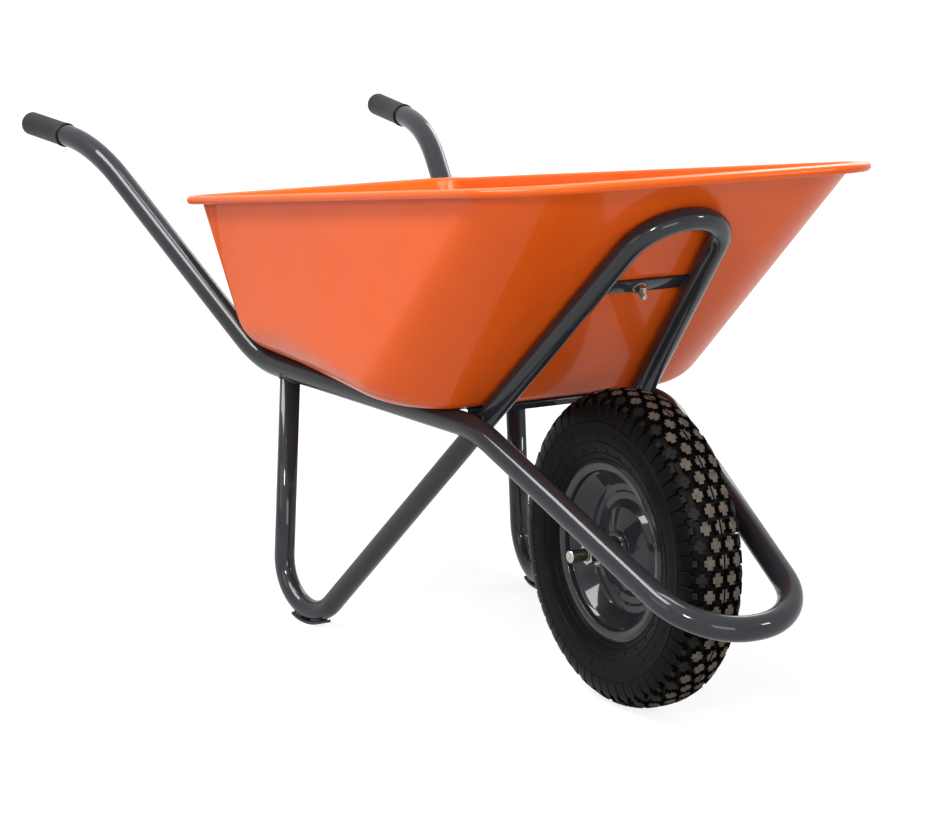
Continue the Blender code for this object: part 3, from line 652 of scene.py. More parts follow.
@dataclass(frozen=True)
class FrameLines:
    """Centre lines that the frame's pieces share, left side.

    The main tube is drawn 0.4 mm thinner than the seats it lies in, which keeps it inside the
    CAD's skin.
    """

    main_od: float = 0.0316
    main_seat: float = 0.032
    support_od: float = 0.028
    grip_end: Triple = (-0.729, 0.2975, 0.620)
    handle_bend: Triple = (-0.538, 0.2775, 0.607)
    rail_rear: Triple = (-0.183, 0.1850, 0.341)
    rail_front: Triple = (0.325, 0.1435, 0.341)
    loop: Triple = (0.725, 0.081, 0.165)
    main_radii: tuple[float, ...] = (0.250, 0.134, 0.150, 0.090)
    hoop: Triple = (0.575, 0.0575, 0.627)
    hoop_radius: float = 0.064
    foot_radius: float = 0.066
    brace_slope: float = math.radians(46.0)
    leg_top_x: float = -0.110
    shoe_thickness: float = 0.004
    shoe_width: float = 0.022
    shoe_flat: float = 0.0012
    grip_end_wall: float = 0.005
    axle: Triple = (0.463, 0.0, 0.200)
    brace_rounds: int = 6
    foot_rounds: int = 12

    def on_axle(self, side: Side) -> Matrix:
        """Local Z axis outward along the axle on one side, origin at the wheel's middle."""
        return Matrix.Translation(self.axle) @ Matrix.Rotation(-side.value * math.pi / 2, 4, "X")

    def main_corners(self) -> list[Vector]:
        """Set out the main tube.

        Returns:
            Its corners, from inside the grip to the loop.
        """
        end, bend = Vector(self.grip_end), Vector(self.handle_bend)
        inside = end + (bend - end).normalized() * (self.grip_end_wall + SEAT_GAP)
        return [inside, bend, Vector(self.rail_rear), Vector(self.rail_front), Vector(self.loop)]

    def rail_y(self, x: float) -> float:
        """Distance of the rail's centre line from the middle plane."""
        rear, front = Vector(self.rail_rear), Vector(self.rail_front)
        return rear.y + (x - rear.x) / (front.x - rear.x) * (front.y - rear.y)

    def rail_direction(self) -> Vector:
        """Forward along the left rail."""
        return (Vector(self.rail_front) - Vector(self.rail_rear)).normalized()

    def arm_direction(self) -> Vector:
        """Forward and down along the left arm, the part of the main tube beside the wheel."""
        return (Vector(self.loop) - Vector(self.rail_front)).normalized()

    def arm_at(self, x: float) -> Vector:
        """Place on the left arm's centre line."""
        front, down = Vector(self.rail_front), self.arm_direction()
        return front + down * ((x - front.x) / down.x)

    def brace_line(self) -> tuple[Vector, Vector]:
        """Set out the left brace, which touches the inside of the rail.

        Returns:
            Its crossing point with the rail, and its upward direction.
        """
        hoop = Vector(self.hoop)
        rail_z = self.rail_rear[2]
        crossing_x = hoop.x - (hoop.z - rail_z) / math.tan(self.brace_slope)
        apart = (self.main_seat + self.support_od) / 2 + SEAT_GAP
        crossing = Vector((crossing_x, self.rail_y(crossing_x) - apart, rail_z))
        for _ in range(self.brace_rounds):
            brace = (hoop - crossing).normalized()
            square = self.rail_direction().cross(brace).normalized()
            crossing.y = self.rail_y(crossing_x) - apart / abs(square.y)
        return crossing, (hoop - crossing).normalized()

    def brace_at(self, z: float) -> Vector:
        """Place on the left brace's centre line at a height."""
        crossing, brace = self.brace_line()
        return crossing + brace * ((z - crossing.z) / brace.z)

    def foot_bend(self, leg_top: Vector, foot: Vector, brace: Vector) -> tuple[Vector, Vector]:
        """Set out the bend at the left foot.

        Args:
            leg_top: Top of the leg.
            foot: Corner where the lines of leg and brace meet.
            brace: Upward direction of the brace.

        Returns:
            The bend's centre and axis.
        """
        to_leg = (leg_top - foot).normalized()
        half = to_leg.angle(brace) / 2
        centre = foot + (to_leg + brace).normalized() * self.foot_radius / math.sin(half)
        return centre, to_leg.cross(brace).normalized()

    def support_corners(self) -> list[Vector]:
        """Set out the support tube, so low that its shoes stand on the ground.

        Returns:
            Its corners: leg top, foot and hoop.
        """
        crossing, brace = self.brace_line()
        rail_z = self.rail_rear[2]
        leg_top = Vector((self.leg_top_x, self.rail_y(self.leg_top_x), rail_z))
        reach = self.support_od / 2 + SEAT_GAP + self.shoe_thickness
        foot = crossing - brace * (rail_z / brace.z)
        for _ in range(self.foot_rounds):
            centre, normal = self.foot_bend(leg_top, foot, brace)
            down = math.sqrt(1 - normal.z ** 2)
            lowest = (centre.z - (self.foot_radius + reach) * down
                      - abs(normal.z) * self.shoe_width / 2)
            foot -= brace * ((lowest + self.shoe_flat) / brace.z)
        return [leg_top, foot, Vector(self.hoop)]

    def foot_arc(self) -> tuple[Vector, Vector, Vector]:
        """Find the bend at the left foot.

        Returns:
            Its centre, its axis, and the direction from the centre to its lowest place.
        """
        leg_top, foot, _ = self.support_corners()
        centre, normal = self.foot_bend(leg_top, foot, self.brace_line()[1])
        return centre, normal, (normal * normal.z - UP).normalized()


LINES = FrameLines()
WHEEL_PLACE = LINES.on_axle(Side.LEFT)


@dataclass
class Bender:
    """Bends a tube as a tube bender does: straights are drawn, bends are turned."""

    segments: int = 40
    step: float = math.radians(5.0)
    least_steps: int = 4

    def bend(self, left: list[Vector], radii: list[float],
             diameter: float) -> tuple[Shape, list[Point], list[Edge]]:
        """Bend a whole tube that is the same on both sides of the middle plane.

        Args:
            left: Corners of its left half's centre line, from its end inward.
            radii: Bend radius at each of them but the first.
            diameter: Its outer diameter.

        Returns:
            The outer skin, open at both ends, its right end's points and its left end's edges.
        """
        corners = [on_side(corner, Side.RIGHT) for corner in left] + left[::-1]
        here = corners[0]
        shape = bmesh.new()
        made = bmesh.ops.create_circle(shape, cap_ends=False, radius=diameter / 2,
                                       segments=self.segments,
                                       matrix=aimed(here, corners[1] - here))
        first, front = made["verts"], shape.edges[:]
        for before, corner, after, radius in zip(corners, corners[1:], corners[2:],
                                                 radii + radii[::-1]):
            back, ahead = (before - corner).normalized(), (after - corner).normalized()
            half = back.angle(ahead) / 2
            setback, angle = radius / math.tan(half), math.pi - 2 * half
            front = drawn(shape, front, corner + back * setback - here)
            centre = corner + (back + ahead).normalized() * radius / math.sin(half)
            made = bmesh.ops.spin(shape, geom=front, cent=centre, angle=angle,
                                  axis=(-back).cross(ahead).normalized(),
                                  steps=max(self.least_steps, round(angle / self.step)))
            front = of_kind(made["geom_last"], Edge)
            here = corner + ahead * setback
        front = drawn(shape, front, corners[-1] - here)
        return faced_out(shape), first, front


@dataclass
class MainTube:
    """The tube that is both handles, both rails and the loop in front of the wheel."""

    wall: float = 0.0015

    def build(self) -> None:
        """Bend the tube and give it its wall."""
        skin, *_ = Bender().bend(LINES.main_corners(), list(LINES.main_radii), LINES.main_od)
        add_wall(keep("main_tube", skin, [GREY_ENAMEL], Body.FRAME, ["main_frame_tube"]),
                 self.wall)


@dataclass
class SupportTube:
    """The tube that is both legs, both braces and the hoop in front of the tray."""

    wall: float = 0.0015

    def coped(self, point: Vector, side: Side) -> Vector:
        """Slide a point of the leg's top end down the leg onto the rail's skin.

        Args:
            point: The point.
            side: The leg's side.

        Returns:
            Its place on the rail.
        """
        top, foot, _ = (on_side(corner, side) for corner in LINES.support_corners())
        leg = (foot - top).normalized()
        rail = on_side(LINES.rail_direction(), side)
        start = point - top
        start -= leg * start.dot(leg)
        flat = start - rail * start.dot(rail)
        slope = leg - rail * leg.dot(rail)
        # The place where the point's line leaves the rail's round is the larger root.
        a, b = slope.dot(slope), 2 * flat.dot(slope)
        c = flat.dot(flat) - (LINES.main_od / 2) ** 2
        reach = (-b + math.sqrt(max(b * b - 4 * a * c, 0.0))) / (2 * a)
        return top + start + leg * reach

    def build(self) -> None:
        """Bend the tube, cope its ends to the rails and give it its wall."""
        skin, first, front = Bender().bend(LINES.support_corners(),
                                           [LINES.foot_radius, LINES.hoop_radius],
                                           LINES.support_od)
        last = {point for edge in front for point in edge.verts}
        for side, ends in ((Side.RIGHT, first), (Side.LEFT, last)):
            for point in ends:
                point.co = self.coped(point.co, side)
        add_wall(keep("support_tube", skin, [GREY_ENAMEL], Body.FRAME, ["support_tube"]),
                 self.wall)


def for_side(shape: Shape, side: Side) -> Shape:
    """Mirror a left-hand shape if it is for the right, and turn its faces outward."""
    bmesh.ops.scale(shape, verts=shape.verts, vec=(1, side.value, 1))
    return faced_out(shape)


@dataclass
class FootShoes:
    """Curved strips welded under the foot bends, ground flat where they stand."""

    half_angle: float = math.radians(22.0)
    edge: float = 0.0010
    steps: int = 24
    crisp: float = math.radians(50)

    def build(self) -> None:
        """Roll each strip round the bend, then grind it at the ground."""
        centre, normal, down = LINES.foot_arc()
        inner = LINES.foot_radius + LINES.support_od / 2 + SEAT_GAP
        outer = inner + LINES.shoe_thickness
        half = LINES.shoe_width / 2
        corners = [(inner, -half), (outer, -half), (outer, half), (inner, half)]
        for side in Side:
            shape = bmesh.new()
            points = [shape.verts.new(centre + down * reach + normal * across)
                      for reach, across in corners]
            section = bmesh.ops.contextual_create(shape, geom=points)["faces"]
            bmesh.ops.rotate(shape, verts=shape.verts, cent=centre,
                             matrix=Matrix.Rotation(-self.half_angle, 3, normal))
            bmesh.ops.spin(shape, geom=section + shape.edges[:] + shape.verts[:], cent=centre,
                           axis=normal, angle=2 * self.half_angle, steps=self.steps)
            bmesh.ops.remove_doubles(shape, verts=shape.verts, dist=MERGE)
            for_side(shape, side)
            bevelled(shape, [edge for edge in shape.edges if len(edge.link_faces) == 2
                             and edge.calc_face_angle() > self.crisp], self.edge)
            cut = bmesh.ops.bisect_plane(
                shape, geom=shape.verts[:] + shape.edges[:] + shape.faces[:],
                plane_co=(0, 0, 0), plane_no=-UP, clear_outer=True)["geom_cut"]
            bmesh.ops.holes_fill(shape, edges=of_kind(cut, Edge))
            keep("foot_shoe." + side.word, faced_out(shape), [GREY_ENAMEL], Body.FRAME,
                 ["foot_shoe_" + side.word])


@dataclass
class Grips:
    """Closed sleeves on the handle ends, finely ribbed along their length.

    The rings, (radius, height, depth of the hollows), lead from the nose over the ribs and the
    collar back inside. A rib has four places: the hollow beside it, its rising side, its crest
    and its falling side.
    """

    radius: float = 0.0172
    nose: float = 0.0055
    nose_degrees: tuple[float, ...] = (8, 25, 45, 65, 80)
    rings: tuple[Triple, ...] = (
        (0.0172, 0.005775, 0.0), (0.0172, 0.007425, 0.00045), (0.0172, 0.1015, 0.00045),
        (0.0172, 0.1032, 0.0), (0.0176, 0.1040, 0.0), (0.0180, 0.1046, 0.0),
        (0.0180, 0.1093, 0.0), (0.0175, 0.1100, 0.0), (0.0161, 0.1100, 0.0),
        (0.0161, 0.1060, 0.0))
    ribs: int = 44
    hollows: tuple[float, ...] = (1, 0.55, 0, 0.55)

    def build(self) -> None:
        """Mould both sleeves."""
        nose = [(self.radius - self.nose * (1 - math.sin(turn)),
                 self.nose * (1 - math.cos(turn)), 0.0)
                for turn in map(math.radians, self.nose_degrees)]
        sections = nose + list(self.rings)
        for side in Side:
            end = on_side(Vector(LINES.grip_end), side)
            bend = on_side(Vector(LINES.handle_bend), side)
            shape = moved(ribbed(sections, self.ribs, self.hollows), aimed(end, bend - end))
            keep("grip." + side.word, shape, [GRIP_RUBBER], Body.FRAME, ["grip_" + side.word],
                 sharp=50)


# Tray.


@dataclass
class Tray:
    """Pressed steel tray: a rounded floor, sloping walls, a lip and a rolled bead.

    Where a size is a pair, the first is at the rear and the second at the front.
    """

    sheet: float = 0.0012
    floor_z: float = 0.3573
    rim_rear_x: float = -0.3465
    rim_half: Pair = (0.2085, 0.2675)
    rim_z: Pair = (0.5495, 0.6845)
    rim_radius: Pair = (0.032, 0.096)
    floor_rear_x: float = -0.208
    floor_half: Pair = (0.216, 0.255)
    floor_radius: Pair = (0.074, 0.112)
    floor_inset: float = 0.015
    edge_setback: float = 0.056
    front_setback: float = 0.016
    fold: float = 0.0035
    fold_shares: tuple[float, ...] = (0.3, 0.6, 0.85)
    lip: float = 0.0145
    bead_od: float = 0.0085
    bead_roll: float = math.radians(300.0)
    corner_steps: int = 18
    side_steps: int = 16
    edge_steps: int = 12
    wall_steps: int = 8
    bead_steps: int = 18

    def front_wall_x(self, z: float) -> float:
        """Find the outer face of the front wall, which leans on the hoop.

        Args:
            z: A height.

        Returns:
            The wall's x there.
        """
        slope = LINES.brace_slope
        back_off = (LINES.support_od / 2 + SEAT_GAP) / math.sin(slope)
        return LINES.hoop[0] - back_off + (z - LINES.hoop[2]) / math.tan(slope)

    def outline(self, rear_x: float, front_x: float, halves: Pair,
                radii: Pair) -> list[Vector]:
        """Draw a rounded four-sided outline, with as many places whatever its size.

        Args:
            rear_x: Its rear side.
            front_x: Its front side.
            halves: Half its width at the rear and at the front.
            radii: Its corner radii at the rear and at the front.

        Returns:
            Its places.
        """
        corners = [Vector((rear_x, -halves[0], 0)), Vector((front_x, -halves[1], 0)),
                   Vector((front_x, halves[1], 0)), Vector((rear_x, halves[0], 0))]
        arcs = []
        for i, radius in enumerate((radii[0], radii[1], radii[1], radii[0])):
            back = (corners[i - 1] - corners[i]).normalized()
            ahead = (corners[(i + 1) % 4] - corners[i]).normalized()
            reach = radius / math.tan(back.angle(ahead) / 2)
            arcs.append(arc(corners[i], back, ahead, reach, self.corner_steps))
        places = []
        for here, ahead in zip(arcs, arcs[1:] + arcs[:1]):
            places += here + [here[-1].lerp(ahead[0], j / self.side_steps)
                              for j in range(1, self.side_steps)]
        return places

    def outward(self, places: list[Vector]) -> list[Vector]:
        """Find the horizontal directions square to an outline.

        Args:
            places: The outline.

        Returns:
            The unit direction at each place.
        """
        found = []
        for i in range(len(places)):
            travel = places[(i + 1) % len(places)] - places[i - 1]
            found.append(Vector((travel.y, -travel.x, 0)).normalized())
        return found

    def station(self, low: Vector, out: Vector, high: Vector, over: Vector) -> list[Vector]:
        """Draw the section of the outer face at one place of the outline.

        Args:
            low: Where the lines of floor and wall meet.
            out: Outward direction there.
            high: Where the lines of wall and lip meet.
            over: Outward direction there.

        Returns:
            Places from the floor up the wall to the end of the bead.
        """
        front = max(out.x, 0.0) ** 2
        setback = self.edge_setback + front * (self.front_setback - self.edge_setback)
        places = arc(low, (-out).normalized(), (high - low).normalized(), setback,
                     self.edge_steps)
        wall_start = places[-1]
        below = wall_start.lerp(high, 1 - self.fold / (high - wall_start).length)
        places += [wall_start.lerp(below, i / self.wall_steps)
                   for i in range(1, self.wall_steps + 1)]
        lip_start = high + over * self.fold
        lip_end = high + over * self.lip
        places += [below.lerp(high, share).lerp(high.lerp(lip_start, share), share)
                   for share in self.fold_shares]
        places += [lip_start, lip_start.lerp(lip_end, 0.5)]
        radius = self.bead_od / 2
        centre = lip_end - UP * radius
        turns = [math.pi / 2 - self.bead_roll * i / self.bead_steps
                 for i in range(self.bead_steps + 1)]
        return places + [centre + over * radius * math.cos(turn) + UP * radius * math.sin(turn)
                         for turn in turns]

    def build(self) -> None:
        """Press the tray from its sections and give it the sheet's thickness."""
        floor = self.outline(self.floor_rear_x, self.front_wall_x(self.floor_z), self.floor_half,
                             self.floor_radius)
        rim_front = self.front_wall_x(self.rim_z[1])
        rim = self.outline(self.rim_rear_x, rim_front, self.rim_half, self.rim_radius)
        rise = (self.rim_z[1] - self.rim_z[0]) / (rim_front - self.rim_rear_x)
        stations = []
        for low, out, high, over in zip(floor, self.outward(floor), rim, self.outward(rim)):
            low.z = self.floor_z
            high.z = self.rim_z[0] + rise * (high.x - self.rim_rear_x)
            stations.append(self.station(low, out, high, over))
        shape = lofted([list(ring) for ring in zip(*stations)], True, False)
        base = max(shape.faces, key=lambda face: len(face.verts))
        bmesh.ops.inset_region(shape, faces=[base], thickness=self.floor_inset)
        if base.normal.z > 0:
            bmesh.ops.reverse_faces(shape, faces=shape.faces)
        add_wall(keep("pressed_tray", shape, [ORANGE_ENAMEL], Body.FRAME, ["tray"], sharp=60),
                 self.sheet)


TRAY = Tray()


# Cross members and fasteners.


@dataclass
class CrossMembers:
    """The two channels under the tray and the flat bar across the hoop."""

    width: float = 0.040
    height: float = 0.010
    wall: float = 0.0025
    fold_radius: float = 0.0030
    fold_steps: int = 6
    rear_x: float = -0.060
    top_z: float = 0.3570
    front_clearance: float = 0.002
    bar_width: float = 0.022
    bar_thickness: float = 0.004
    bar_edge: float = 0.0006
    bar_z: float = 0.523
    bar_inset: float = 0.0075

    def front_x(self) -> float:
        """Find the front channel, which stands against the back of both braces.

        Returns:
            Its middle's x.
        """
        back = (LINES.support_od / 2 + SEAT_GAP) / math.sin(LINES.brace_slope)
        return LINES.brace_at(self.top_z - self.height).x - back - self.width / 2

    def rail_edge_y(self, x: float) -> float:
        """Inner face of the rail at the channel's lower edge."""
        rise = self.top_z - self.height - LINES.rail_rear[2]
        return LINES.rail_y(x) - math.sqrt((LINES.main_od / 2) ** 2 - rise ** 2)

    def channel(self, x: float, half_length: float) -> Shape:
        """Fold a channel, open downward.

        Args:
            x: Its middle.
            half_length: Half its length.

        Returns:
            The channel.
        """
        half = (self.width - self.wall) / 2
        top = -self.wall / 2
        middle = [(-half, -self.height), (-half, top), (half, top), (half, -self.height)]
        outline = thickened(filleted(middle, self.fold_radius, self.fold_steps), self.wall)
        shape = bmesh.new()
        edges = ring_of(shape, [(x + across, -half_length, self.top_z + height)
                                for across, height in outline])
        face = bmesh.ops.contextual_create(shape, geom=edges)["faces"]
        made = bmesh.ops.extrude_face_region(shape, geom=face)["geom"]
        bmesh.ops.translate(shape, verts=of_kind(made, Point), vec=(0, 2 * half_length, 0))
        return faced_out(shape)

    def bar_matrix(self) -> Matrix:
        """Place the flat bar between the braces.

        Returns:
            Its matrix; the local Z axis points at the tray's front wall.
        """
        slope = Matrix.Rotation(-LINES.brace_slope, 3, "Y")
        middle = Vector((LINES.brace_at(self.bar_z).x, 0, self.bar_z))
        middle += slope @ UP * (LINES.support_od - self.bar_thickness) / 2
        return Matrix.Translation(middle) @ slope.to_4x4()

    def bar_half_length(self) -> float:
        """Half the bar's length; it ends inside the braces' inner skin."""
        return LINES.brace_at(self.bar_z).y - self.bar_inset

    def build(self) -> None:
        """Fold the channels and cut the bar."""
        front = self.front_x()
        front_half = self.rail_edge_y(front + self.width / 2) - self.front_clearance
        rear_half = self.rail_edge_y(self.rear_x + self.width / 2) - SEAT_GAP
        for word, x, half in (("front", front, front_half), ("rear", self.rear_x, rear_half)):
            keep(word + "_channel", self.channel(x, half), [GREY_ENAMEL], Body.FRAME,
                 [word + "_cross_channel"])
        size = (self.bar_width, 2 * self.bar_half_length(), self.bar_thickness)
        keep("hoop_bar", moved(block(size, self.bar_edge), self.bar_matrix()), [GREY_ENAMEL],
             Body.FRAME, ["hoop_cross_bar"])


CROSS_MEMBERS = CrossMembers()
# Segments round the small turned pieces.
BOLT_STEPS = 28
WASHER_STEPS = 40
NUT_STEPS = 48
# Shares of a washer's thickness and of a nut's bore by which their edges are broken, and share
# of a nut's width across flats that stays flat on its faces.
WASHER_EASE = 0.22
NUT_EASE = 0.10
NUT_CROWN = 0.97
NUT_CHAMFER = math.radians(30)
# The two ends of a nut's skin meet in its bore, this far apart.
NUT_SEAM = 0.00001


def plain_washer(outer: float, bore: float, thickness: float, centre_z: float) -> Shape:
    """Stamp a washer, its edges broken.

    Args:
        outer: Its outer radius.
        bore: Radius of its hole.
        thickness: Its thickness.
        centre_z: Height of its middle on the Z axis.

    Returns:
        The washer.
    """
    ease = thickness * WASHER_EASE
    lower = [(bore, ease - thickness / 2), (bore + ease, -thickness / 2),
             (outer - ease, -thickness / 2), (outer, ease - thickness / 2)]
    upper = [(radius, -height) for radius, height in lower[::-1]]
    return turned([(radius, centre_z + height) for radius, height in lower + upper],
                  WASHER_STEPS, closed=True)


def hexagon_nut(flats: float, height: float, bore: float, centre_z: float) -> Shape:
    """Make a hexagon nut, its corners turned off at 30 degrees, which bows its edges.

    Args:
        flats: Width across flats.
        height: Height of the nut.
        bore: Radius of the hole.
        centre_z: Height of its middle on the Z axis.

    Returns:
        The nut.
    """
    sixth = math.radians(60)
    outline = []
    for place in circle(1.0, 0.0, NUT_STEPS):
        turn = (math.atan2(place.y, place.x) + sixth / 2) % sixth
        outline.append(place * flats / 2 / math.cos(turn - sixth / 2))
    crown = flats / 2 * NUT_CROWN

    def ring(places: Sequence[Vector], rise: float) -> list[Vector]:
        """Places at a height, lowered where they stand outside the crown."""
        slope = math.copysign(math.tan(NUT_CHAMFER), rise)
        return [Vector((place.x, place.y,
                        centre_z + rise - max(place.length - crown, 0.0) * slope))
                for place in places]

    half, ease = height / 2, bore * NUT_EASE
    face, mouth, hole = (circle(radius, 0.0, NUT_STEPS) for radius in (crown, bore + ease, bore))
    upper = [(hole, 0.0), (hole, half - ease), (mouth, half), (face, half), (outline, half)]
    lower = [(places, -rise) for places, rise in upper[:0:-1]] + [(hole, -NUT_SEAM)]
    shape = lofted([ring(*pair) for pair in upper + lower], False, False)
    bmesh.ops.remove_doubles(shape, verts=shape.verts, dist=2 * NUT_SEAM)
    return faced_out(shape)


@dataclass
class Fastener:
    """A carriage bolt with its washer and nut; the local Z axis points out of the head.

    Sizes that are shares of another say so in their names.
    """

    diameter: float
    length: float
    pitch: float
    head_per_diameter: float = 2.25
    head_rise_per_diameter: float = 0.55
    head_steps: int = 12
    underside: float = 0.0002
    plain_per_length: float = 0.35
    core_per_pitch: float = 0.55
    root_per_pitch: float = 0.60
    runout_per_pitch: float = 0.40
    point_per_pitch: float = 0.80
    nut_flats_per_diameter: float = 1.65
    nut_height_per_diameter: float = 0.80
    washer_per_diameter: float = 2.10
    washer_thickness: float = 0.0015
    washer_room: float = 0.0004
    nut_bite: float = 0.0001
    thread_steps: int = 20
    thread_flat: Pair = (-0.42, -0.58)

    def bolt(self) -> Shape:
        """Turn the low domed head and the threaded shank.

        Returns:
            The bolt.
        """
        radius, pitch = self.diameter / 2, self.pitch
        head = radius * self.head_per_diameter
        rise = self.diameter * self.head_rise_per_diameter
        turns = [math.pi / 2 * (1 - i / self.head_steps) for i in range(self.head_steps + 1)]
        dome = [(0.0, rise)] + [(head * math.cos(turn), rise * math.sin(turn))
                                for turn in turns[1:]]
        core = radius - pitch * self.core_per_pitch
        plain = -self.length * self.plain_per_length
        shank = [(head, -self.underside), (radius, -self.underside), (radius, plain),
                 (core, plain - pitch * self.runout_per_pitch),
                 (core, pitch * self.point_per_pitch - self.length),
                 (core - pitch * self.root_per_pitch, -self.length), (0.0, -self.length)]
        return gathered([turned(dome + shank, BOLT_STEPS), self.thread(plain)])

    def thread(self, start: float) -> Shape:
        """Wind the thread's ridge on the shank's core.

        Args:
            start: Height at which it starts.

        Returns:
            The ridge.
        """
        crest = self.diameter / 2
        root = crest - self.pitch * self.root_per_pitch
        turns = int((self.length + start - self.pitch) / self.pitch)
        upper, lower = self.thread_flat
        section = [(root, 0.0), (crest, upper), (crest, lower), (root, -1.0)]
        shape = bmesh.new()
        chain = chained(shape, [(radius, 0, start + share * self.pitch)
                                for radius, share in section])
        bmesh.ops.spin(shape, geom=chain, cent=(0, 0, 0), axis=UP,
                       dvec=(0, 0, -self.pitch / self.thread_steps), angle=FULL_TURN * turns,
                       steps=self.thread_steps * turns)
        bmesh.ops.remove_doubles(shape, verts=shape.verts, dist=MERGE)
        return faced_out(shape)

    def build(self, nodes: Sequence[str], matrix: Matrix, grip: float) -> None:
        """Keep the bolt, washer and nut.

        Args:
            nodes: CAD nodes of the bolt, the washer and the nut.
            matrix: Place of the head's underside.
            grip: Thickness clamped between the head and the washer.
        """
        radius = self.diameter / 2
        height = self.diameter * self.nut_height_per_diameter
        washer_z = -grip - SEAT_GAP - self.washer_thickness / 2
        nut_z = washer_z - self.washer_thickness / 2 - SEAT_GAP - height / 2
        washer = plain_washer(radius * self.washer_per_diameter, radius + self.washer_room,
                              self.washer_thickness, washer_z)
        nut = hexagon_nut(self.diameter * self.nut_flats_per_diameter, height,
                          radius - self.nut_bite, nut_z)
        for node, shape in zip(nodes, (self.bolt(), washer, nut)):
            keep("zinc." + node, moved(shape, matrix), [BRIGHT_ZINC], Body.FRAME, [node],
                 sharp=38)


@dataclass
class TrayFasteners:
    """Four bolts through the tray's floor and one through its front wall."""

    front_y: float = 0.112
    rear_y: float = 0.105

    def build(self) -> None:
        """Place every bolt with its washer and nut."""
        small = Fastener(diameter=0.006, length=0.025, pitch=0.0010)
        large = Fastener(diameter=0.008, length=0.025, pitch=0.00125)
        kinds = ("bolt", "washer", "nut")
        head_z = TRAY.floor_z + TRAY.sheet + SEAT_GAP
        grip = head_z - CROSS_MEMBERS.top_z + CROSS_MEMBERS.wall
        for end, x, y in (("front", CROSS_MEMBERS.front_x(), self.front_y),
                          ("rear", CROSS_MEMBERS.rear_x, self.rear_y)):
            for side in Side:
                nodes = ["tray_%s_%s_%s" % (kind, end, side.word) for kind in kinds]
                small.build(nodes, Matrix.Translation((x, side.value * y, head_z)), grip)
        half_bar = CROSS_MEMBERS.bar_thickness / 2
        wall = half_bar + 2 * SEAT_GAP + TRAY.sheet
        matrix = CROSS_MEMBERS.bar_matrix() @ Matrix.Translation((0, 0, wall))
        large.build(["hoop_" + kind for kind in kinds], matrix, wall + half_bar)


# Axle and wheel.


@dataclass(frozen=True)
class HubLines:
    """Sizes that the hub, its bearings and the pieces beside them share."""

    radius: float = 0.0215
    half: float = 0.024
    bearing_radius: float = 0.0175
    bearing_width: float = 0.011
    race_radius: float = 0.011


HUB = HubLines()


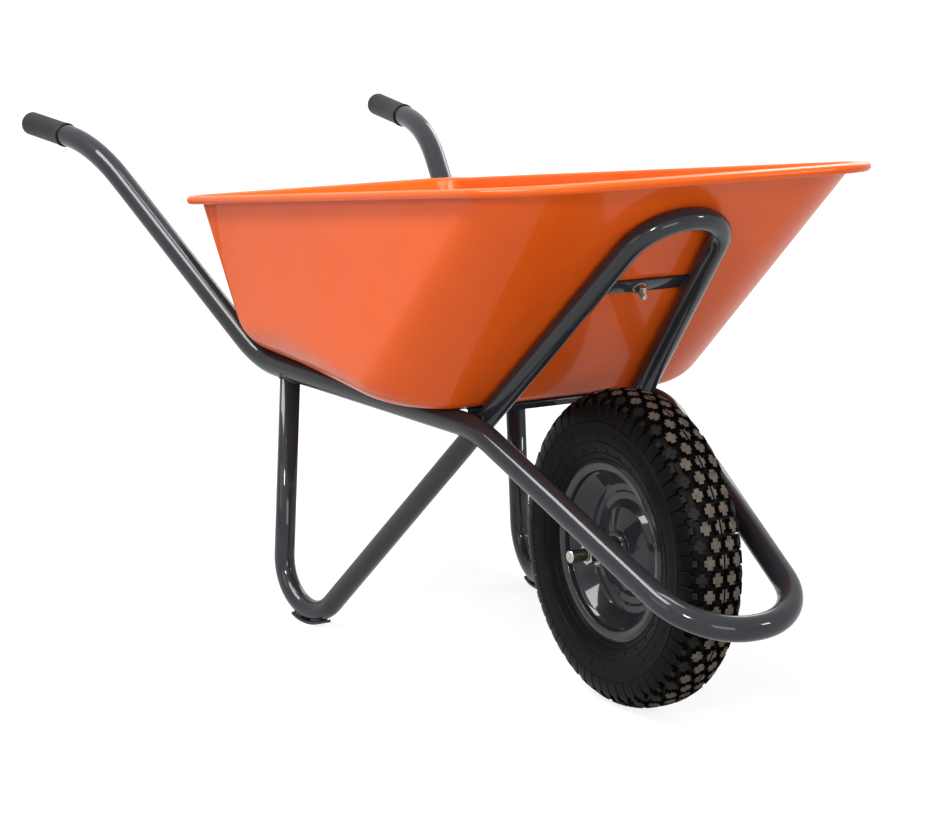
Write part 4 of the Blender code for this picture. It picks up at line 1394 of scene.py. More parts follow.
@dataclass
class AxleSet:
    """Axle, brackets, spacers, washers and nuts: all that the wheel turns on."""

    radius: float = 0.008
    centre_mark: tuple[Pair, ...] = ((0.0, 0.0888), (0.0018, 0.0906))
    end: tuple[Pair, ...] = ((0.0024, 0.0910), (0.0068, 0.0910), (0.0080, 0.0898), (0.0080, 0.0))
    end_fillet: float = 0.0004
    inner_y: float = 0.0463
    thickness: float = 0.004
    width: float = 0.036
    lobe_steps: int = 48
    bend_rise: float = 0.030
    bend_reach: float = 0.006
    top_inset: float = 0.004
    washer_radius: float = 0.015
    washer_thickness: float = 0.0025
    nut_flats: float = 0.024
    nut_height: float = 0.013
    spacer_radius: float = 0.0104
    ease: float = 0.0005
    steps: int = 48

    def build_axle(self) -> None:
        """A plain bar with chamfered ends and a turned centre mark in each."""
        upper = list(self.centre_mark) + filleted(self.end, self.end_fillet, 3)
        lower = [(radius, -height) for radius, height in upper[-2::-1]]
        keep("zinc.axle", moved(turned(upper + lower, self.steps), WHEEL_PLACE), [BRIGHT_ZINC],
             Body.FRAME, ["axle"])

    def build_rings(self) -> None:
        """Spacers, washers, nuts and inner races on both sides."""
        bore, ease, outer = self.radius + SEAT_GAP, self.ease, self.spacer_radius
        washer_y = self.inner_y + self.thickness + SEAT_GAP + self.washer_thickness / 2
        nut_y = washer_y + self.washer_thickness / 2 + SEAT_GAP + self.nut_height / 2
        low, high = HUB.half + SEAT_GAP, self.inner_y - SEAT_GAP
        sleeve = [(bore, low), (outer - ease, low), (outer, low + ease), (outer, high - ease),
                  (outer - ease, high), (bore, high)]
        race_low = HUB.half - HUB.bearing_width
        race = [(bore, race_low), (HUB.race_radius, race_low), (HUB.race_radius, HUB.half),
                (bore + ease, HUB.half), (bore, HUB.half - ease)]
        for side in Side:
            for node, shape, finish in (
                    ("axle_spacer_", turned(sleeve, self.steps, closed=True), BRIGHT_ZINC),
                    ("axle_washer_", plain_washer(self.washer_radius, bore,
                                                  self.washer_thickness, washer_y), BRIGHT_ZINC),
                    ("axle_nut_", hexagon_nut(self.nut_flats, self.nut_height, bore, nut_y),
                     BRIGHT_ZINC),
                    ("bearing_inner_", turned(race, self.steps, closed=True), GROUND_STEEL)):
                name = node + side.word
                keep("turned." + name, moved(shape, LINES.on_axle(side)), [finish], Body.FRAME,
                     [name], sharp=38)

    def build_brackets(self) -> None:
        """Plates round the axle, bent outward above it up to the main tube."""
        axle = Vector(LINES.axle)
        half, y = self.width / 2, self.inner_y + self.thickness / 2
        bend = Vector((0, y, axle.z + self.bend_rise))
        top = LINES.arm_at(axle.x) - Vector((0, self.top_inset, self.top_inset))
        whole = circle(half, 0.0, self.lobe_steps)
        lobe = whole[self.lobe_steps // 2:] + whole[:1]
        for side in Side:
            shape = bmesh.new()
            outline = [(axle.x + place.x, y, axle.z + place.y) for place in lobe]
            outline += [(axle.x + across, y, bend.z) for across in (half, -half)]
            plate = bmesh.ops.contextual_create(
                shape, geom=[shape.verts.new(place) for place in outline])["faces"]
            crease = [edge for edge in plate[0].edges
                      if all(abs(point.co.z - bend.z) < MERGE for point in edge.verts)]
            drawn(shape, crease, Vector((0, top.y - y, top.z - bend.z)))
            bevelled(shape, crease, self.bend_reach, 6)
            name = "axle_bracket_" + side.word
            piece = keep("plate." + name, for_side(shape, side), [GREY_ENAMEL], Body.FRAME,
                         [name])
            add_wall(piece, self.thickness, 0.0)
            ease = piece.modifiers.new("broken_edges", "BEVEL")
            ease.width = self.ease
            ease.segments = 2
            ease.limit_method = "ANGLE"
            ease.angle_limit = math.radians(50)

    def build(self) -> None:
        """Build the whole set."""
        self.build_axle()
        self.build_rings()
        self.build_brackets()


@dataclass
class TyreSection:
    """Cross-section of the tyre: its tread surface as a rounded box above the widest line."""

    crown: float = 0.200
    widest_r: float = 0.150
    half_width: float = 0.0425
    squareness: float = 2.8
    tread_depth: float = 0.0070
    shoulder_depth: float = 0.0007
    tread_edge: float = 0.036
    shoulder_end: float = 0.064
    samples: int = 400
    slope_reach: int = 6

    def __post_init__(self) -> None:
        """Measure the distance along the surface from the crown at each sample."""
        power = 2 / self.squareness
        turns = [math.pi / 2 * i / self.samples for i in range(self.samples + 1)]
        self.points = [(self.half_width * math.sin(turn) ** power,
                        self.widest_r + (self.crown - self.widest_r) * math.cos(turn) ** power)
                       for turn in turns]
        self.lengths = [0.0]
        for pair in zip(self.points, self.points[1:]):
            self.lengths.append(self.lengths[-1] + math.dist(*pair))

    def surface(self, along: float) -> tuple[Vector, Vector]:
        """Find a place on the surface.

        Args:
            along: Distance from the crown, negative to the wheel's right.

        Returns:
            The place and the outward direction there, both (across, radius).
        """
        reach = min(abs(along), self.lengths[-1] - MERGE / 1000)
        low = bisect_right(self.lengths, reach) - 1
        share = (reach - self.lengths[low]) / (self.lengths[low + 1] - self.lengths[low])
        point = Vector(self.points[low]).lerp(Vector(self.points[low + 1]), share)
        travel = (Vector(self.points[min(low + 1 + self.slope_reach, self.samples)])
                  - Vector(self.points[max(low - self.slope_reach, 0)]))
        out = Vector((-travel.y, travel.x)).normalized()
        if along < 0:
            point.x, out.x = -point.x, -out.x
        return point, out

    def depth(self, along: float) -> float:
        """Find how deep the grooves are, which are shallower on the shoulders.

        Args:
            along: Distance from the crown.

        Returns:
            The depth.
        """
        share = (abs(along) - self.tread_edge) / (self.shoulder_end - self.tread_edge)
        share = min(max(share, 0.0), 1.0)
        return self.tread_depth + share * (self.shoulder_depth - self.tread_depth)


class Cell(Enum):
    """What a cell of the tyre's grid is."""

    GROOVE = 0
    BLOCK = 1
    OUTER_BLOCK = 2
    BAR = 3

    @property
    def rubber(self) -> int:
        """Number of its rubber; a bar is as black as the grooves and the sidewall."""
        # An outermost block takes the dusty rubber that is painted darker for shade.
        return self.value % Cell.BAR.value


@dataclass
class Tyre:
    """Block-tread tyre: a grid of cells wrapped round the wheel, its blocks raised from it.

    Columns of plus-shaped blocks cover the tread. Two bars to a pitch run over each shoulder:
    one grows out of an outermost block, the other out of a tab between two of them. Places
    across the tyre are distances from the crown.
    """

    pitches: int = 30
    phase: float = math.radians(3.6)
    column_gap: float = 0.0100
    outer_column: int = 3
    block_half: float = 0.0070
    arm_half: float = 0.0038
    slot_half: float = 0.0007
    block_length: float = 0.0176
    arm_length: float = 0.0088
    tab_start: float = 0.0345
    tab_bar_start: float = 0.0405
    block_bar_start: float = 0.0440
    taper_start: float = 0.038
    taper: tuple[Pair, ...] = ((0.044, 0.0019), (0.050, 0.0008), (0.064, 0.0004))
    shoulder_rows: tuple[float, ...] = (0.0470, 0.0500, 0.0540, 0.0580, 0.0610)
    block_edge: float = 0.0005
    side_profile: tuple[Pair, ...] = (
        (0.04245, 0.1535), (0.0425, 0.1500), (0.0424, 0.1460), (0.0420, 0.1400),
        (0.0418, 0.1382), (0.0424, 0.1374), (0.0423, 0.1366), (0.0412, 0.1358),
        (0.0402, 0.1310), (0.0388, 0.1260), (0.0380, 0.1242), (0.0386, 0.1236),
        (0.0384, 0.1228), (0.0368, 0.1218), (0.0356, 0.1185), (0.0342, 0.1165),
        (0.0326, 0.1152), (0.0322, 0.1140), (0.0322, 0.1055), (0.0296, 0.1028),
        (0.0254, 0.1028), (0.0254, 0.1155), (0.0330, 0.1340), (0.0340, 0.1620),
        (0.0260, 0.1840), (0.0130, 0.1905))
    inner_crown: float = 0.1915
    ridge_gap: float = 0.0012
    ridge: tuple[Pair, ...] = ((0.0003, 0), (0.0002, -0.0014))
    seam: float = 0.00001
    rib: Triple = (0.0045, 0.0009, 0.0010)
    rib_rings: tuple[Triple, ...] = ((0.1490, 0.0424, 0.03), (0.1290, 0.0397, 0.12))
    rib_count: int = 30
    whisker_count: int = 5
    whisker_shifts: Pair = (0.30, 0.25)
    whisker_place: float = 0.050
    whisker_length: float = 0.0034
    whisker_radii: Pair = (0.0005, 0.0003)
    whisker_sides: int = 6
    whisker_root: float = 0.3

    def __post_init__(self) -> None:
        """Set out the section and the lines of the grid."""
        self.section = TyreSection()
        self.pitch = FULL_TURN * self.section.crown / self.pitches
        self.rows = self.lines_across()

    def lines_across(self) -> list[float]:
        """Set out the grid's rows on the tread and shoulders.

        Returns:
            Their places, from the right to the left.
        """
        places = {0.0, self.slot_half, self.tab_start, self.tab_bar_start, self.block_bar_start,
                  *self.shoulder_rows, self.section.shoulder_end}
        for column in range(self.outer_column + 1):
            for reach in (self.block_half, self.arm_half):
                places |= {round(column * self.column_gap + place, 5) for place in (-reach, reach)}
        right = sorted(place for place in places if place >= 0)
        return [-place for place in right[:0:-1]] + right

    def stations(self) -> tuple[list[Vector], list[Optional[float]]]:
        """Draw the closed section: tread, one sidewall and bead, the inside, and back.

        Returns:
            Its places, (across, radius), and the distance from the crown of those on the tread.
        """
        places = []
        for reach in self.rows:
            point, out = self.section.surface(reach)
            places.append(point - out * self.section.depth(reach))
        # A fine ridge runs round the tyre where the bars end.
        foot, _ = self.section.surface(self.rows[-1] + self.ridge_gap)
        left = [foot + Vector(rise) for rise in self.ridge]
        left += [Vector(place) for place in self.side_profile]
        places += left + [Vector((0.0, self.inner_crown))]
        places += [Vector((-place.x, place.y)) for place in left[::-1]]
        return places, self.rows + [None] * (2 * len(left) + 1)

    def bar_half(self, reach: float) -> float:
        """Find half the length of a block, or of the narrowing bar that grows out of it.

        Args:
            reach: Distance from the crown.

        Returns:
            The half length, measured round the tyre at its crown.
        """
        quarter = self.pitch / 4
        gaps = ((self.taper_start, quarter - self.block_length / 2), *self.taper)
        for (near, first), (far, last) in zip(gaps, gaps[1:]):
            if reach < far:
                share = max((reach - near) / (far - near), 0.0)
                return quarter - first - share * (last - first)
        return quarter - gaps[-1][1]

    def angle(self, column: int, reach: Optional[float]) -> float:
        """Find where a line of the grid lies round the wheel.

        Args:
            column: The line's number; there are eight to a pitch.
            reach: Distance from the crown, None on the sidewalls.

        Returns:
            The angle.
        """
        number, part = divmod(column, 4)
        half = self.bar_half(self.rows[-1] if reach is None else abs(reach))
        arm = self.arm_length / 2
        across = (-half, -arm, arm, half)[part] + number * self.pitch / 2
        return self.phase + across / self.section.crown

    def cell(self, column: int, reach: float) -> Cell:
        """Find what a cell of the grid is.

        Args:
            column: Number of its column.
            reach: Its middle's distance from the crown.

        Returns:
            The kind of cell.
        """
        number, part = divmod(column, 4)
        if part == 3:
            return Cell.GROOVE
        core, family, reach = part == 1, number % 2, abs(reach)
        outer = self.outer_column * self.column_gap
        if family:
            bar = outer + self.block_half if core else self.block_bar_start
        else:
            bar = self.tab_bar_start
        if reach > bar:
            return Cell.BAR
        if core and reach > (outer if family else self.tab_start):
            return Cell.OUTER_BLOCK
        limit = self.block_half if core else self.arm_half
        for block_column in range(family, self.outer_column + 1, 2):
            offset = abs(reach - block_column * self.column_gap)
            if offset < limit and (block_column or offset > self.slot_half):
                outermost = block_column == self.outer_column
                return Cell.OUTER_BLOCK if outermost else Cell.BLOCK
        return Cell.GROOVE

    def wrap(self, shape: Shape, along: list[Optional[float]], places: list[Vector]) -> None:
        """Mark the kinds of a flat grid's cells, number its rows and wrap it round the wheel.

        Args:
            shape: The grid, one unit wide.
            along: Distance of each row from the crown, None off the tread.
            places: Place of each row in the section.
        """
        columns, rows = self.pitches * 8, len(places)
        row_of = shape.verts.layers.int["row"]
        kind = shape.faces.layers.int["kind"]
        for face in shape.faces:
            middle = face.calc_center_median()
            row = int((middle.y + 0.5) * rows)
            if row + 1 < len(self.rows):
                reach = (self.rows[row] + self.rows[row + 1]) / 2
                face[kind] = self.cell(int((middle.x + 0.5) * columns), reach).value
        for point in shape.verts:
            row = round((point.co.y + 0.5) * rows) % rows
            point[row_of] = row
            turn = self.angle(round((point.co.x + 0.5) * columns), along[row])
            across, radius = places[row]
            point.co = (radius * math.cos(turn), radius * math.sin(turn), across)
        bmesh.ops.remove_doubles(shape, verts=shape.verts, dist=self.seam)
        faced_out(shape)

    def build(self) -> None:
        """Wrap the grid, raise the blocks and round their edges."""
        places, along = self.stations()
        shape = bmesh.new()
        bmesh.ops.create_grid(shape, x_segments=self.pitches * 8, y_segments=len(places),
                              size=0.5)
        row_of = shape.verts.layers.int.new("row")
        kind = shape.faces.layers.int.new("kind")
        self.wrap(shape, along, places)
        raised = [face for face in shape.faces if face[kind]]
        made = bmesh.ops.extrude_face_region(shape, geom=raised)["geom"]
        bmesh.ops.delete(shape, geom=raised, context="FACES_KEEP_BOUNDARY")
        tops = set(of_kind(made, bmesh.types.BMFace))
        for point in of_kind(made, Point):
            reach = along[point[row_of]]
            step = self.section.surface(reach)[1] * self.section.depth(reach)
            turn = math.atan2(point.co.y, point.co.x)
            point.co += Vector((step.y * math.cos(turn), step.y * math.sin(turn), step.x))
        for face in tops:
            face.material_index = Cell(face[kind]).rubber
        rims = [edge for edge in shape.edges
                if len(edge.link_faces) == 2 and len(tops.intersection(edge.link_faces)) == 1]
        bmesh.ops.bevel(shape, geom=rims, offset=self.block_edge, segments=1, profile=0.5,
                        affect="EDGES", material=0, clamp_overlap=True)
        keep("block_tread_tyre", moved(faced_out(shape), WHEEL_PLACE),
             [SIDEWALL_RUBBER, TREAD_RUBBER, SHADED_SHOULDER_RUBBER], Body.WHEEL, ["tyre"], sharp=32)
        self.build_side_ribs()

    def build_side_ribs(self) -> None:
        """Short radial ribs on both sidewalls, and the few whiskers left by the mould's vents."""
        pieces = []
        point, out = self.section.surface(self.whisker_place)
        shift, side_shift = self.whisker_shifts
        for side in Side:
            for radius, across, start in self.rib_rings:
                for i in range(self.rib_count):
                    spin = Matrix.Rotation(start + FULL_TURN * i / self.rib_count, 4, "Z")
                    place = Matrix.Translation((radius, 0, side.value * across))
                    pieces.append(moved(block(self.rib), spin @ place))
            for i in range(self.whisker_count):
                turn = FULL_TURN * (i + shift + side_shift * side.value) / self.whisker_count
                foot, lean = (Vector((way.y * math.cos(turn), way.y * math.sin(turn),
                                      side.value * way.x)) for way in (point, out))
                whisker = bmesh.new()
                bmesh.ops.create_cone(whisker, cap_ends=True, segments=self.whisker_sides,
                                      radius1=self.whisker_radii[0],
                                      radius2=self.whisker_radii[1], depth=self.whisker_length)
                middle = foot + lean * self.whisker_length * self.whisker_root
                pieces.append(moved(whisker, aimed(middle, lean)))
        keep("tyre_side_ribs", moved(gathered(pieces), WHEEL_PLACE), [SIDEWALL_RUBBER],
             Body.WHEEL, sharp=50)


@dataclass
class Rim:
    """Two pressed halves back to back, welded to the hub tube with its two bearings.

    The middle of a half's sheet leads from the hub to the flange, (radius, distance from the
    middle plane, fillet). The seal's outline is that of a bearing's outer race with its
    pressed-in seal, dished and lipped, (radius, distance from the middle plane).
    """

    sheet: float = 0.0020
    middle: tuple[Triple, ...] = (
        (0.0228, 0.0220, 0), (0.0228, 0.0178, 0.0020), (0.0308, 0.0155, 0.0060),
        (0.0528, 0.0095, 0.0050), (0.0588, 0.0028, 0.0030), (0.0613, 0.00115, 0.0020),
        (0.0705, 0.00115, 0.0016), (0.0740, 0.0040, 0.0016), (0.0815, 0.0040, 0.0012),
        (0.0845, 0.0068, 0.0016), (0.0980, 0.0225, 0.0030), (0.1015, 0.0258, 0.0020),
        (0.1015, 0.0325, 0.0012), (0.1055, 0.0335, 0.0020), (0.1095, 0.0341, 0.0040),
        (0.1140, 0.0319, 0))
    seal: tuple[Pair, ...] = (
        (0.0113, 0.0130), (0.0175, 0.0130), (0.0175, 0.0237), (0.0172, 0.0240),
        (0.0163, 0.0240), (0.0161, 0.0233), (0.0153, 0.0237), (0.0129, 0.0235),
        (0.0121, 0.0239), (0.0113, 0.0234))
    ease: float = 0.0006
    steps: int = 128
    hub_steps: int = 96
    seal_steps: int = 64
    half_sharp: float = 50.0

    def build_pair(self, kind: str, node: str, outline: Profile, steps: int, finish: Finish,
                   sharp: float = 40.0) -> None:
        """Turn a piece for each side.

        Args:
            kind: First word of the pieces' names.
            node: Name of their CAD nodes, without the side.
            outline: Their closed outline, (radius, distance from the middle plane).
            steps: Segments round the axis.
            finish: Their finish.
            sharp: Edges at a larger angle than this, in degrees, stay crisp.
        """
        for side in Side:
            name = node + side.word
            shape = moved(turned(outline, steps, closed=True), LINES.on_axle(side))
            keep("%s.%s" % (kind, name), shape, [finish], Body.WHEEL, [name], sharp)

    def build(self) -> None:
        """Press both halves, turn the hub and fit its bearings."""
        middle = filleted([place[:2] for place in self.middle],
                          [place[2] for place in self.middle[1:-1]])
        self.build_pair("pressed", "rim_half_", thickened(middle, self.sheet), self.steps,
                        GREY_ENAMEL, self.half_sharp)
        bore, half, outer = HUB.bearing_radius + SEAT_GAP, HUB.half, HUB.radius
        tube = [(bore, -half), (outer - self.ease, -half), (outer, self.ease - half),
                (outer, half - self.ease), (outer - self.ease, half), (bore, half)]
        keep("turned.hub_tube", moved(turned(tube, self.hub_steps, closed=True), WHEEL_PLACE),
             [GREY_ENAMEL], Body.WHEEL, ["hub_tube"])
        self.build_pair("sealed", "bearing_outer_", self.seal, self.seal_steps, SEAL_RUBBER)


@dataclass
class Valve:
    """Brass stem through the left rim half, with its black ribbed cap.

    The stem's profile is (radius, height), the cap's rings (radius, height, depth of the hollows).
    """

    stem: tuple[Pair, ...] = ((0.0, 0.0), (0.004, 0.0), (0.004, 0.022), (0.0028, 0.022),
                              (0.0028, 0.030), (0.0, 0.030))
    stem_fillet: float = 0.0003
    stem_steps: int = 32
    cap: tuple[Triple, ...] = (
        (0.0032, 0.0225, 0.0), (0.0050, 0.0225, 0.0), (0.0050, 0.0231, 0.0003),
        (0.0050, 0.0325, 0.0003), (0.0044, 0.0339, 0.0), (0.0034, 0.0345, 0.0))
    cap_ribs: int = 24
    angle: float = math.radians(35.0)
    across: float = 0.011
    foot_radius: float = 0.1031

    def build(self) -> None:
        """Turn the stem and mould the cap."""
        inward = Vector((math.cos(self.angle), 0.0, -math.sin(self.angle)))
        foot = Vector(LINES.axle) + Vector((0, self.across, 0)) - inward * self.foot_radius
        matrix = aimed(foot + inward * SEAT_GAP, inward)
        stem = turned(filleted(self.stem, self.stem_fillet, 2), self.stem_steps)
        cap = ribbed(self.cap, self.cap_ribs, (0, 1))
        keep("turned.valve_stem", moved(stem, matrix), [VALVE_BRASS], Body.WHEEL, ["valve_stem"])
        keep("ribbed.valve_cap", moved(cap, matrix), [SEAL_RUBBER], Body.WHEEL, ["valve_cap"])


# Welds.


@dataclass
class Welds:
    """Fillet welds, laid as rippled beads along the joints they hold."""

    ripple: float = 0.16
    ripple_mm: float = 2.2
    sides: int = 10
    taper_rings: float = 3.0
    tip: float = 0.35
    leg_bead: float = 0.0022
    leg_steps: int = 90
    crossing_bead: float = 0.0020
    crossing_gap: float = 0.0030
    crossing_reach: float = 0.016
    crossing_steps: int = 64
    bar_bead: float = 0.0021
    bar_overhang: float = 0.001
    bar_faces: tuple[Pair, ...] = ((-0.0023, 0.0030), (0.0018, 0.0005))
    rear_bead: float = 0.0018
    rear_inset: float = 0.0010
    rear_sink: float = 0.0006
    channel_lift: float = 0.0008
    front_bead: float = 0.0016
    front_apart: float = 0.0035
    front_half: float = 0.0036
    bracket_bead: float = 0.0019
    bracket_half: float = 0.018
    bracket_lean: float = 0.22
    bracket_way: Triple = (0, -0.86, -0.5)
    shoe_bead: float = 0.0020
    shoe_sink: float = 0.0016
    shoe_edge: float = 0.0078
    shoe_starts: tuple[float, ...] = (-20, 8)
    shoe_step: float = 0.85
    shoe_steps: int = 16
    hub_bead: float = 0.0011
    hub_circle: tuple[float, float, int] = (0.0222, 0.0223, 140)

    def lay(self, path: Sequence[Vector], closed: bool, bead: float) -> Shape:
        """One bead along a path, its radius rippled and its ends tapered.

        Args:
            path: Places of the bead's middle, about a millimetre apart.
            closed: Whether it runs into its own start.
            bead: Its radius.

        Returns:
            The bead.
        """
        count = len(path)
        rings = []
        travelled = 0.0
        for i, place in enumerate(path):
            ahead = path[(i + 1) % count] if closed or i + 1 < count else place
            behind = path[i - 1] if closed or i else place
            travelled += (place - path[i - 1]).length if i else 0.0
            wave = 1 + self.ripple * math.cos(FULL_TURN * travelled * MM_PER_M / self.ripple_mm)
            from_end = min(i, count - 1 - i) + self.tip
            share = 1.0 if closed else min(1.0, from_end / self.taper_rings)
            turn = aimed(place, ahead - behind)
            rings.append([turn @ spot for spot in
                          circle(bead * wave * math.sqrt(share), 0.0, self.sides)])
        return bridged(rings, closed)

    def straight(self, start: Vector, end: Vector, steps: int, bead: float) -> Shape:
        """A straight bead from one place to another."""
        return self.lay([start.lerp(end, i / steps) for i in range(steps + 1)], False, bead)

    def leg_tops(self, side: Side) -> list[Shape]:
        """Lay the bead round the coped leg top.

        Args:
            side: The leg's side.

        Returns:
            The bead.
        """
        support = SupportTube()
        top, foot, _ = (on_side(corner, side) for corner in LINES.support_corners())
        matrix = aimed(top, foot - top)
        places = [support.coped(matrix @ place, side)
                  for place in circle(LINES.support_od / 2, 0.0, self.leg_steps)]
        return [self.lay(places, True, self.leg_bead)]

    def crossings(self, side: Side) -> list[Shape]:
        """Lay the bead round the spot where the brace touches the rail.

        Args:
            side: The brace's side.

        Returns:
            The bead, as far out all round as the tubes are one gap apart.
        """
        crossing, brace = LINES.brace_line()
        rail, up = on_side(LINES.rail_direction(), side), on_side(brace, side)
        square = rail.cross(up).normalized()
        if square.y * side.value < 0:
            square = -square
        contact = on_side(crossing, side) + square * LINES.support_od / 2
        across = square.cross(rail)
        places = []
        for spot in circle(1.0, 0.0, self.crossing_steps):
            way = rail * spot.x + across * spot.y
            bend = (way.cross(rail).length_squared / (LINES.main_od / 2)
                    + way.cross(up).length_squared / (LINES.support_od / 2))
            reach = min(math.sqrt(2 * self.crossing_gap / bend), self.crossing_reach)
            places.append(contact + way * reach)
        return [self.lay(places, True, self.crossing_bead)]

    def bar_ends(self, side: Side) -> list[Shape]:
        """Lay the beads across one end of the hoop's flat bar, on both of its faces.

        Args:
            side: The end's side.

        Returns:
            The beads.
        """
        matrix = CROSS_MEMBERS.bar_matrix()
        reach = CROSS_MEMBERS.bar_width / 2 + self.bar_overhang
        beads = []
        for lift, inset in self.bar_faces:
            across = side.value * (CROSS_MEMBERS.bar_half_length() - inset)
            start, end = (matrix @ Vector((x, across, lift)) for x in (-reach, reach))
            beads.append(self.straight(start, end, 20, self.bar_bead))
        return beads

    def channel_ends(self, side: Side) -> list[Shape]:
        """Lay the beads where the rear channel meets the rail and the front one the brace.

        Args:
            side: The rail's side.

        Returns:
            The beads.
        """
        top, height = CROSS_MEMBERS.top_z, CROSS_MEMBERS.height
        half_width = CROSS_MEMBERS.width / 2
        middle = top - height / 2
        brace_y = LINES.brace_at(middle).y
        front = CROSS_MEMBERS.front_x() + half_width + self.channel_lift
        beads = []
        for way in (-1, 1):
            x = CROSS_MEMBERS.rear_x + way * (half_width - self.rear_inset)
            y = side.value * (CROSS_MEMBERS.rail_edge_y(x) - self.rear_sink)
            start, end = (Vector((x + way * self.channel_lift, y, z))
                          for z in (top - height / 8, top - height))
            beads.append(self.straight(start, end, 7, self.rear_bead))
            y = side.value * (brace_y + way * self.front_apart)
            start, end = (Vector((front, y, middle + rise))
                          for rise in (-self.front_half, self.front_half))
            beads.append(self.straight(start, end, 18, self.front_bead))
        return beads

    def bracket_tops(self, side: Side) -> list[Shape]:
        """Lay the beads where the axle bracket meets the main tube.

        Args:
            side: The bracket's side.

        Returns:
            The beads.
        """
        down = LINES.arm_direction()
        out = Vector(self.bracket_way).normalized()
        out = (out - down * out.dot(down)).normalized()
        beads = []
        for lean in (-self.bracket_lean, self.bracket_lean):
            lift = Matrix.Rotation(lean, 3, down) @ out * (LINES.main_od / 2)
            start, end = (on_side(LINES.arm_at(LINES.axle[0] + reach) + lift, side)
                          for reach in (-self.bracket_half, self.bracket_half))
            beads.append(self.straight(start, end, 36, self.bracket_bead))
        return beads

    def shoe_edges(self, side: Side) -> list[Shape]:
        """Lay the stitches along both edges of a foot shoe.

        Args:
            side: The foot's side.

        Returns:
            The stitches.
        """
        centre, normal, down = LINES.foot_arc()
        reach = LINES.foot_radius + LINES.support_od / 2 - self.shoe_sink
        beads = []
        for edge in (-self.shoe_edge, self.shoe_edge):
            for start in self.shoe_starts:
                turns = [math.radians(start + self.shoe_step * i) for i in range(self.shoe_steps)]
                places = [centre + Matrix.Rotation(turn, 3, normal) @ (down * reach)
                          + normal * edge for turn in turns]
                beads.append(self.lay([on_side(place, side) for place in places], False,
                                      self.shoe_bead))
        return beads

    def build(self) -> None:
        """Lay every bead on the frame and the hub."""
        beads = []
        for lay_some in (self.leg_tops, self.crossings, self.bar_ends, self.channel_ends,
                         self.bracket_tops, self.shoe_edges):
            for side in Side:
                beads += lay_some(side)
        keep("frame_weld_beads", gathered(beads), [GREY_ENAMEL], Body.FRAME, sharp=80)
        hub = [self.lay([LINES.on_axle(side) @ place for place in circle(*self.hub_circle)],
                        True, self.hub_bead) for side in Side]
        keep("hub_weld_beads", gathered(hub), [GREY_ENAMEL], Body.WHEEL, sharp=80)


# Studio.


@dataclass(frozen=True)
class Lamp:
    """A soft rectangular lamp; a card is one that only reflections show."""

    name: str
    place: Triple
    aim: Triple
    size: tuple[float, float]
    watts: float
    card: bool = False

    def build(self) -> None:
        """Hang the lamp and aim it."""
        data = bpy.data.lights.new(self.name, "AREA")
        data.shape = "RECTANGLE"
        data.size, data.size_y = self.size
        data.energy = self.watts
        lamp = bpy.data.objects.new(self.name, data)
        turn = (Vector(self.aim) - Vector(self.place)).to_track_quat("-Z", "Y")
        lamp.matrix_world = Matrix.Translation(self.place) @ turn.to_matrix().to_4x4()
        lamp.visible_diffuse = not self.card
        bpy.context.scene.collection.objects.link(lamp)


LAMPS = (
    Lamp("overhead", (0.3, -0.2, 3.0), (0, 0, 0.3), (1.5, 1.0), 54),
    Lamp("right_strip", (0.0, -1.5, 2.4), (0.1, 0, 0.4), (2.4, 0.80), 36),
    Lamp("front_right", (2.6, -2.3, 1.7), (0.1, 0, 0.4), (0.35, 0.35), 26),
    Lamp("front_left", (2.7, 1.9, 1.6), (0.1, 0, 0.4), (0.35, 0.35), 16),
    Lamp("right_side", (0.6, -3.2, 1.2), (0, 0, 0.4), (1.6, 1.2), 11),
    Lamp("left_rear", (-1.8, 2.6, 1.8), (0, 0, 0.4), (1.4, 1.2), 26),
    Lamp("low_front", (3.2, -0.4, 0.7), (0.3, 0, 0.5), (1.2, 0.7), 16),
    Lamp("right_card", (0.0, -1.55, 2.5), (0.1, 0, 0.4), (2.6, 0.9), 100, card=True),
    Lamp("front_card", (2.7, -2.3, 1.8), (0.2, 0, 0.5), (0.5, 0.45), 34, card=True),
)


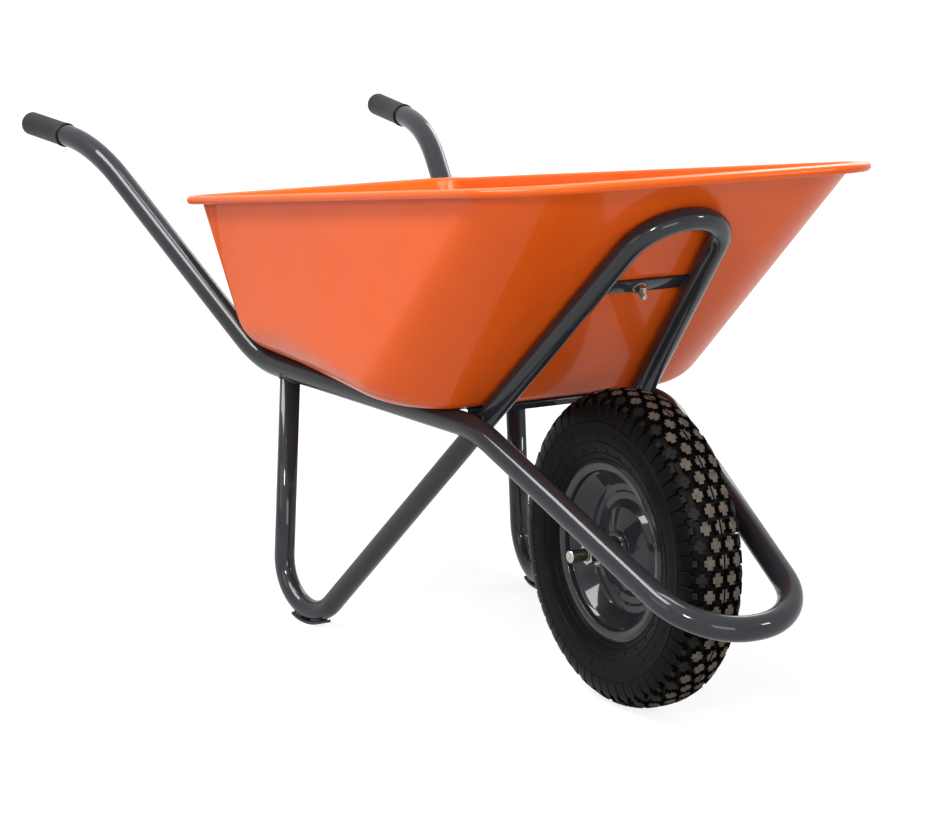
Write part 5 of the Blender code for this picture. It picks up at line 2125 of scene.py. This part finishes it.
@dataclass
class Studio:
    """White floor and surroundings, soft lamps, and the photograph's camera."""

    camera_place: Triple = (3.33115, -1.95010, 1.12878)
    right: Triple = (0.50997, 0.86015, 0.00838)
    up: Triple = (-0.19462, 0.10589, 0.97515)
    forward: Triple = (-0.83789, 0.49893, -0.22141)
    focal_px: float = 2880.7
    centre_px: Pair = (464.45, 434.2)
    image: tuple[int, int] = (928, 840)
    sensor: float = 36.0
    clip_end: float = 100.0
    fill: float = 0.33
    floor_size: float = 40
    floor_colour: str = "#9A9A9A"
    floor_roughness: float = 0.9
    floor_specular: float = 0.1
    floor_near: Pair = (0.9, 0.82)
    floor_far: Pair = (3.5, 1.0)

    def build_camera(self) -> None:
        """The camera, from its fitted place, axes and focal length."""
        data = bpy.data.cameras.new("photo_camera")
        data.sensor_fit = "HORIZONTAL"
        data.sensor_width = self.sensor
        data.lens = self.focal_px / self.image[0] * self.sensor
        data.shift_x = (self.image[0] / 2 - self.centre_px[0]) / self.image[0]
        data.shift_y = (self.centre_px[1] - self.image[1] / 2) / self.image[0]
        data.clip_end = self.clip_end
        camera = bpy.data.objects.new("photo_camera", data)
        axes = Matrix((self.right, self.up, tuple(-part for part in self.forward))).transposed()
        camera.matrix_world = Matrix.Translation(self.camera_place) @ axes.to_4x4()
        bpy.context.scene.collection.objects.link(camera)
        bpy.context.scene.camera = camera

    def seen(self, tree: Tree) -> Socket:
        """Tell the rays that the eye, a reflection or glass sends out from the rest.

        Args:
            tree: The tree that asks.

        Returns:
            1 for such a ray, else 0.
        """
        path = add_node(tree, "ShaderNodeLightPath").outputs
        found = path["Is Camera Ray"]
        for name in ("Is Glossy Ray", "Is Transmission Ray"):
            found = add_node(tree, "ShaderNodeMath", {0: found, 1: path[name]},
                             operation="MAXIMUM").outputs[0]
        return found

    def build_world(self) -> None:
        """White surroundings to the eye and in reflections, a soft fill on the object."""
        world = bpy.data.worlds.new("studio")
        bpy.context.scene.world = world
        world.use_nodes = True
        tree = world.node_tree
        background = tree.nodes["Background"]
        background.inputs["Color"].default_value = (1, 1, 1, 1)
        fill = add_node(tree, "ShaderNodeMapRange",
                        {"Value": self.seen(tree), "To Min": self.fill, "To Max": 1.0})
        tree.links.new(fill.outputs["Result"], background.inputs["Strength"])

    def build_floor(self) -> None:
        """A white floor that keeps the object's shadow."""
        shape = bmesh.new()
        bmesh.ops.create_grid(shape, x_segments=1, y_segments=1, size=self.floor_size)
        mesh = bpy.data.meshes.new("studio_floor")
        shape.to_mesh(mesh)
        shape.free()
        floor = bpy.data.objects.new("studio_floor", mesh)
        bpy.context.scene.collection.objects.link(floor)
        mesh.materials.append(self.floor_paper())

    def floor_paper(self) -> bpy.types.Material:
        """Make white paper, which fades to pure white away from the object.

        Returns:
            The material: a pale surface for the shadow to fall on, and a glow to the eye only,
            which makes the rest of it as white as the surroundings.
        """
        material = bpy.data.materials.new("white_paper_floor")
        material.use_nodes = True
        tree = material.node_tree
        shader = tree.nodes["Principled BSDF"]
        shader.inputs["Base Color"].default_value = linear(self.floor_colour)
        shader.inputs["Roughness"].default_value = self.floor_roughness
        shader.inputs["Specular IOR Level"].default_value = self.floor_specular
        place = add_node(tree, "ShaderNodeTexCoord").outputs["Object"]
        away = add_node(tree, "ShaderNodeVectorMath", {0: place}, operation="LENGTH")
        (near, near_glow), (far, far_glow) = self.floor_near, self.floor_far
        level = add_node(tree, "ShaderNodeMapRange",
                         {"Value": away.outputs["Value"], "From Min": near, "From Max": far,
                          "To Min": near_glow, "To Max": far_glow})
        lift = add_node(tree, "ShaderNodeMapRange",
                        {"Value": self.seen(tree), "To Min": 0.0,
                         "To Max": level.outputs["Result"]})
        glow = add_node(tree, "ShaderNodeEmission",
                        {"Color": (1, 1, 1, 1), "Strength": lift.outputs["Result"]})
        both = add_node(tree, "ShaderNodeAddShader",
                        {0: shader.outputs["BSDF"], 1: glow.outputs["Emission"]})
        tree.links.new(both.outputs["Shader"], tree.nodes["Material Output"].inputs["Surface"])
        return material

    def build(self) -> None:
        """Camera, surroundings, floor and lamps."""
        bpy.context.scene.view_settings.view_transform = "Standard"
        self.build_camera()
        self.build_world()
        self.build_floor()
        for lamp in LAMPS:
            lamp.build()


def dress_inner_tube() -> None:
    """Give the inner tube, which shows as its CAD node, its rubber."""
    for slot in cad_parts["inner_tube"].material_slots:
        slot.material = BUTYL_RUBBER.material()


def main() -> None:
    """Build every sub-assembly in order."""
    logging.basicConfig(level=logging.INFO, format="%(message)s")
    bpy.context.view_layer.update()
    for part in (Studio(), MainTube(), SupportTube(), FootShoes(), Grips(), TRAY, CROSS_MEMBERS,
                 TrayFasteners(), AxleSet(), Tyre(), Rim(), Valve(), Welds()):
        part.build()
        LOG.info("%s built", type(part).__name__)
    dress_inner_tube()


if __name__ == "__main__":
    main()
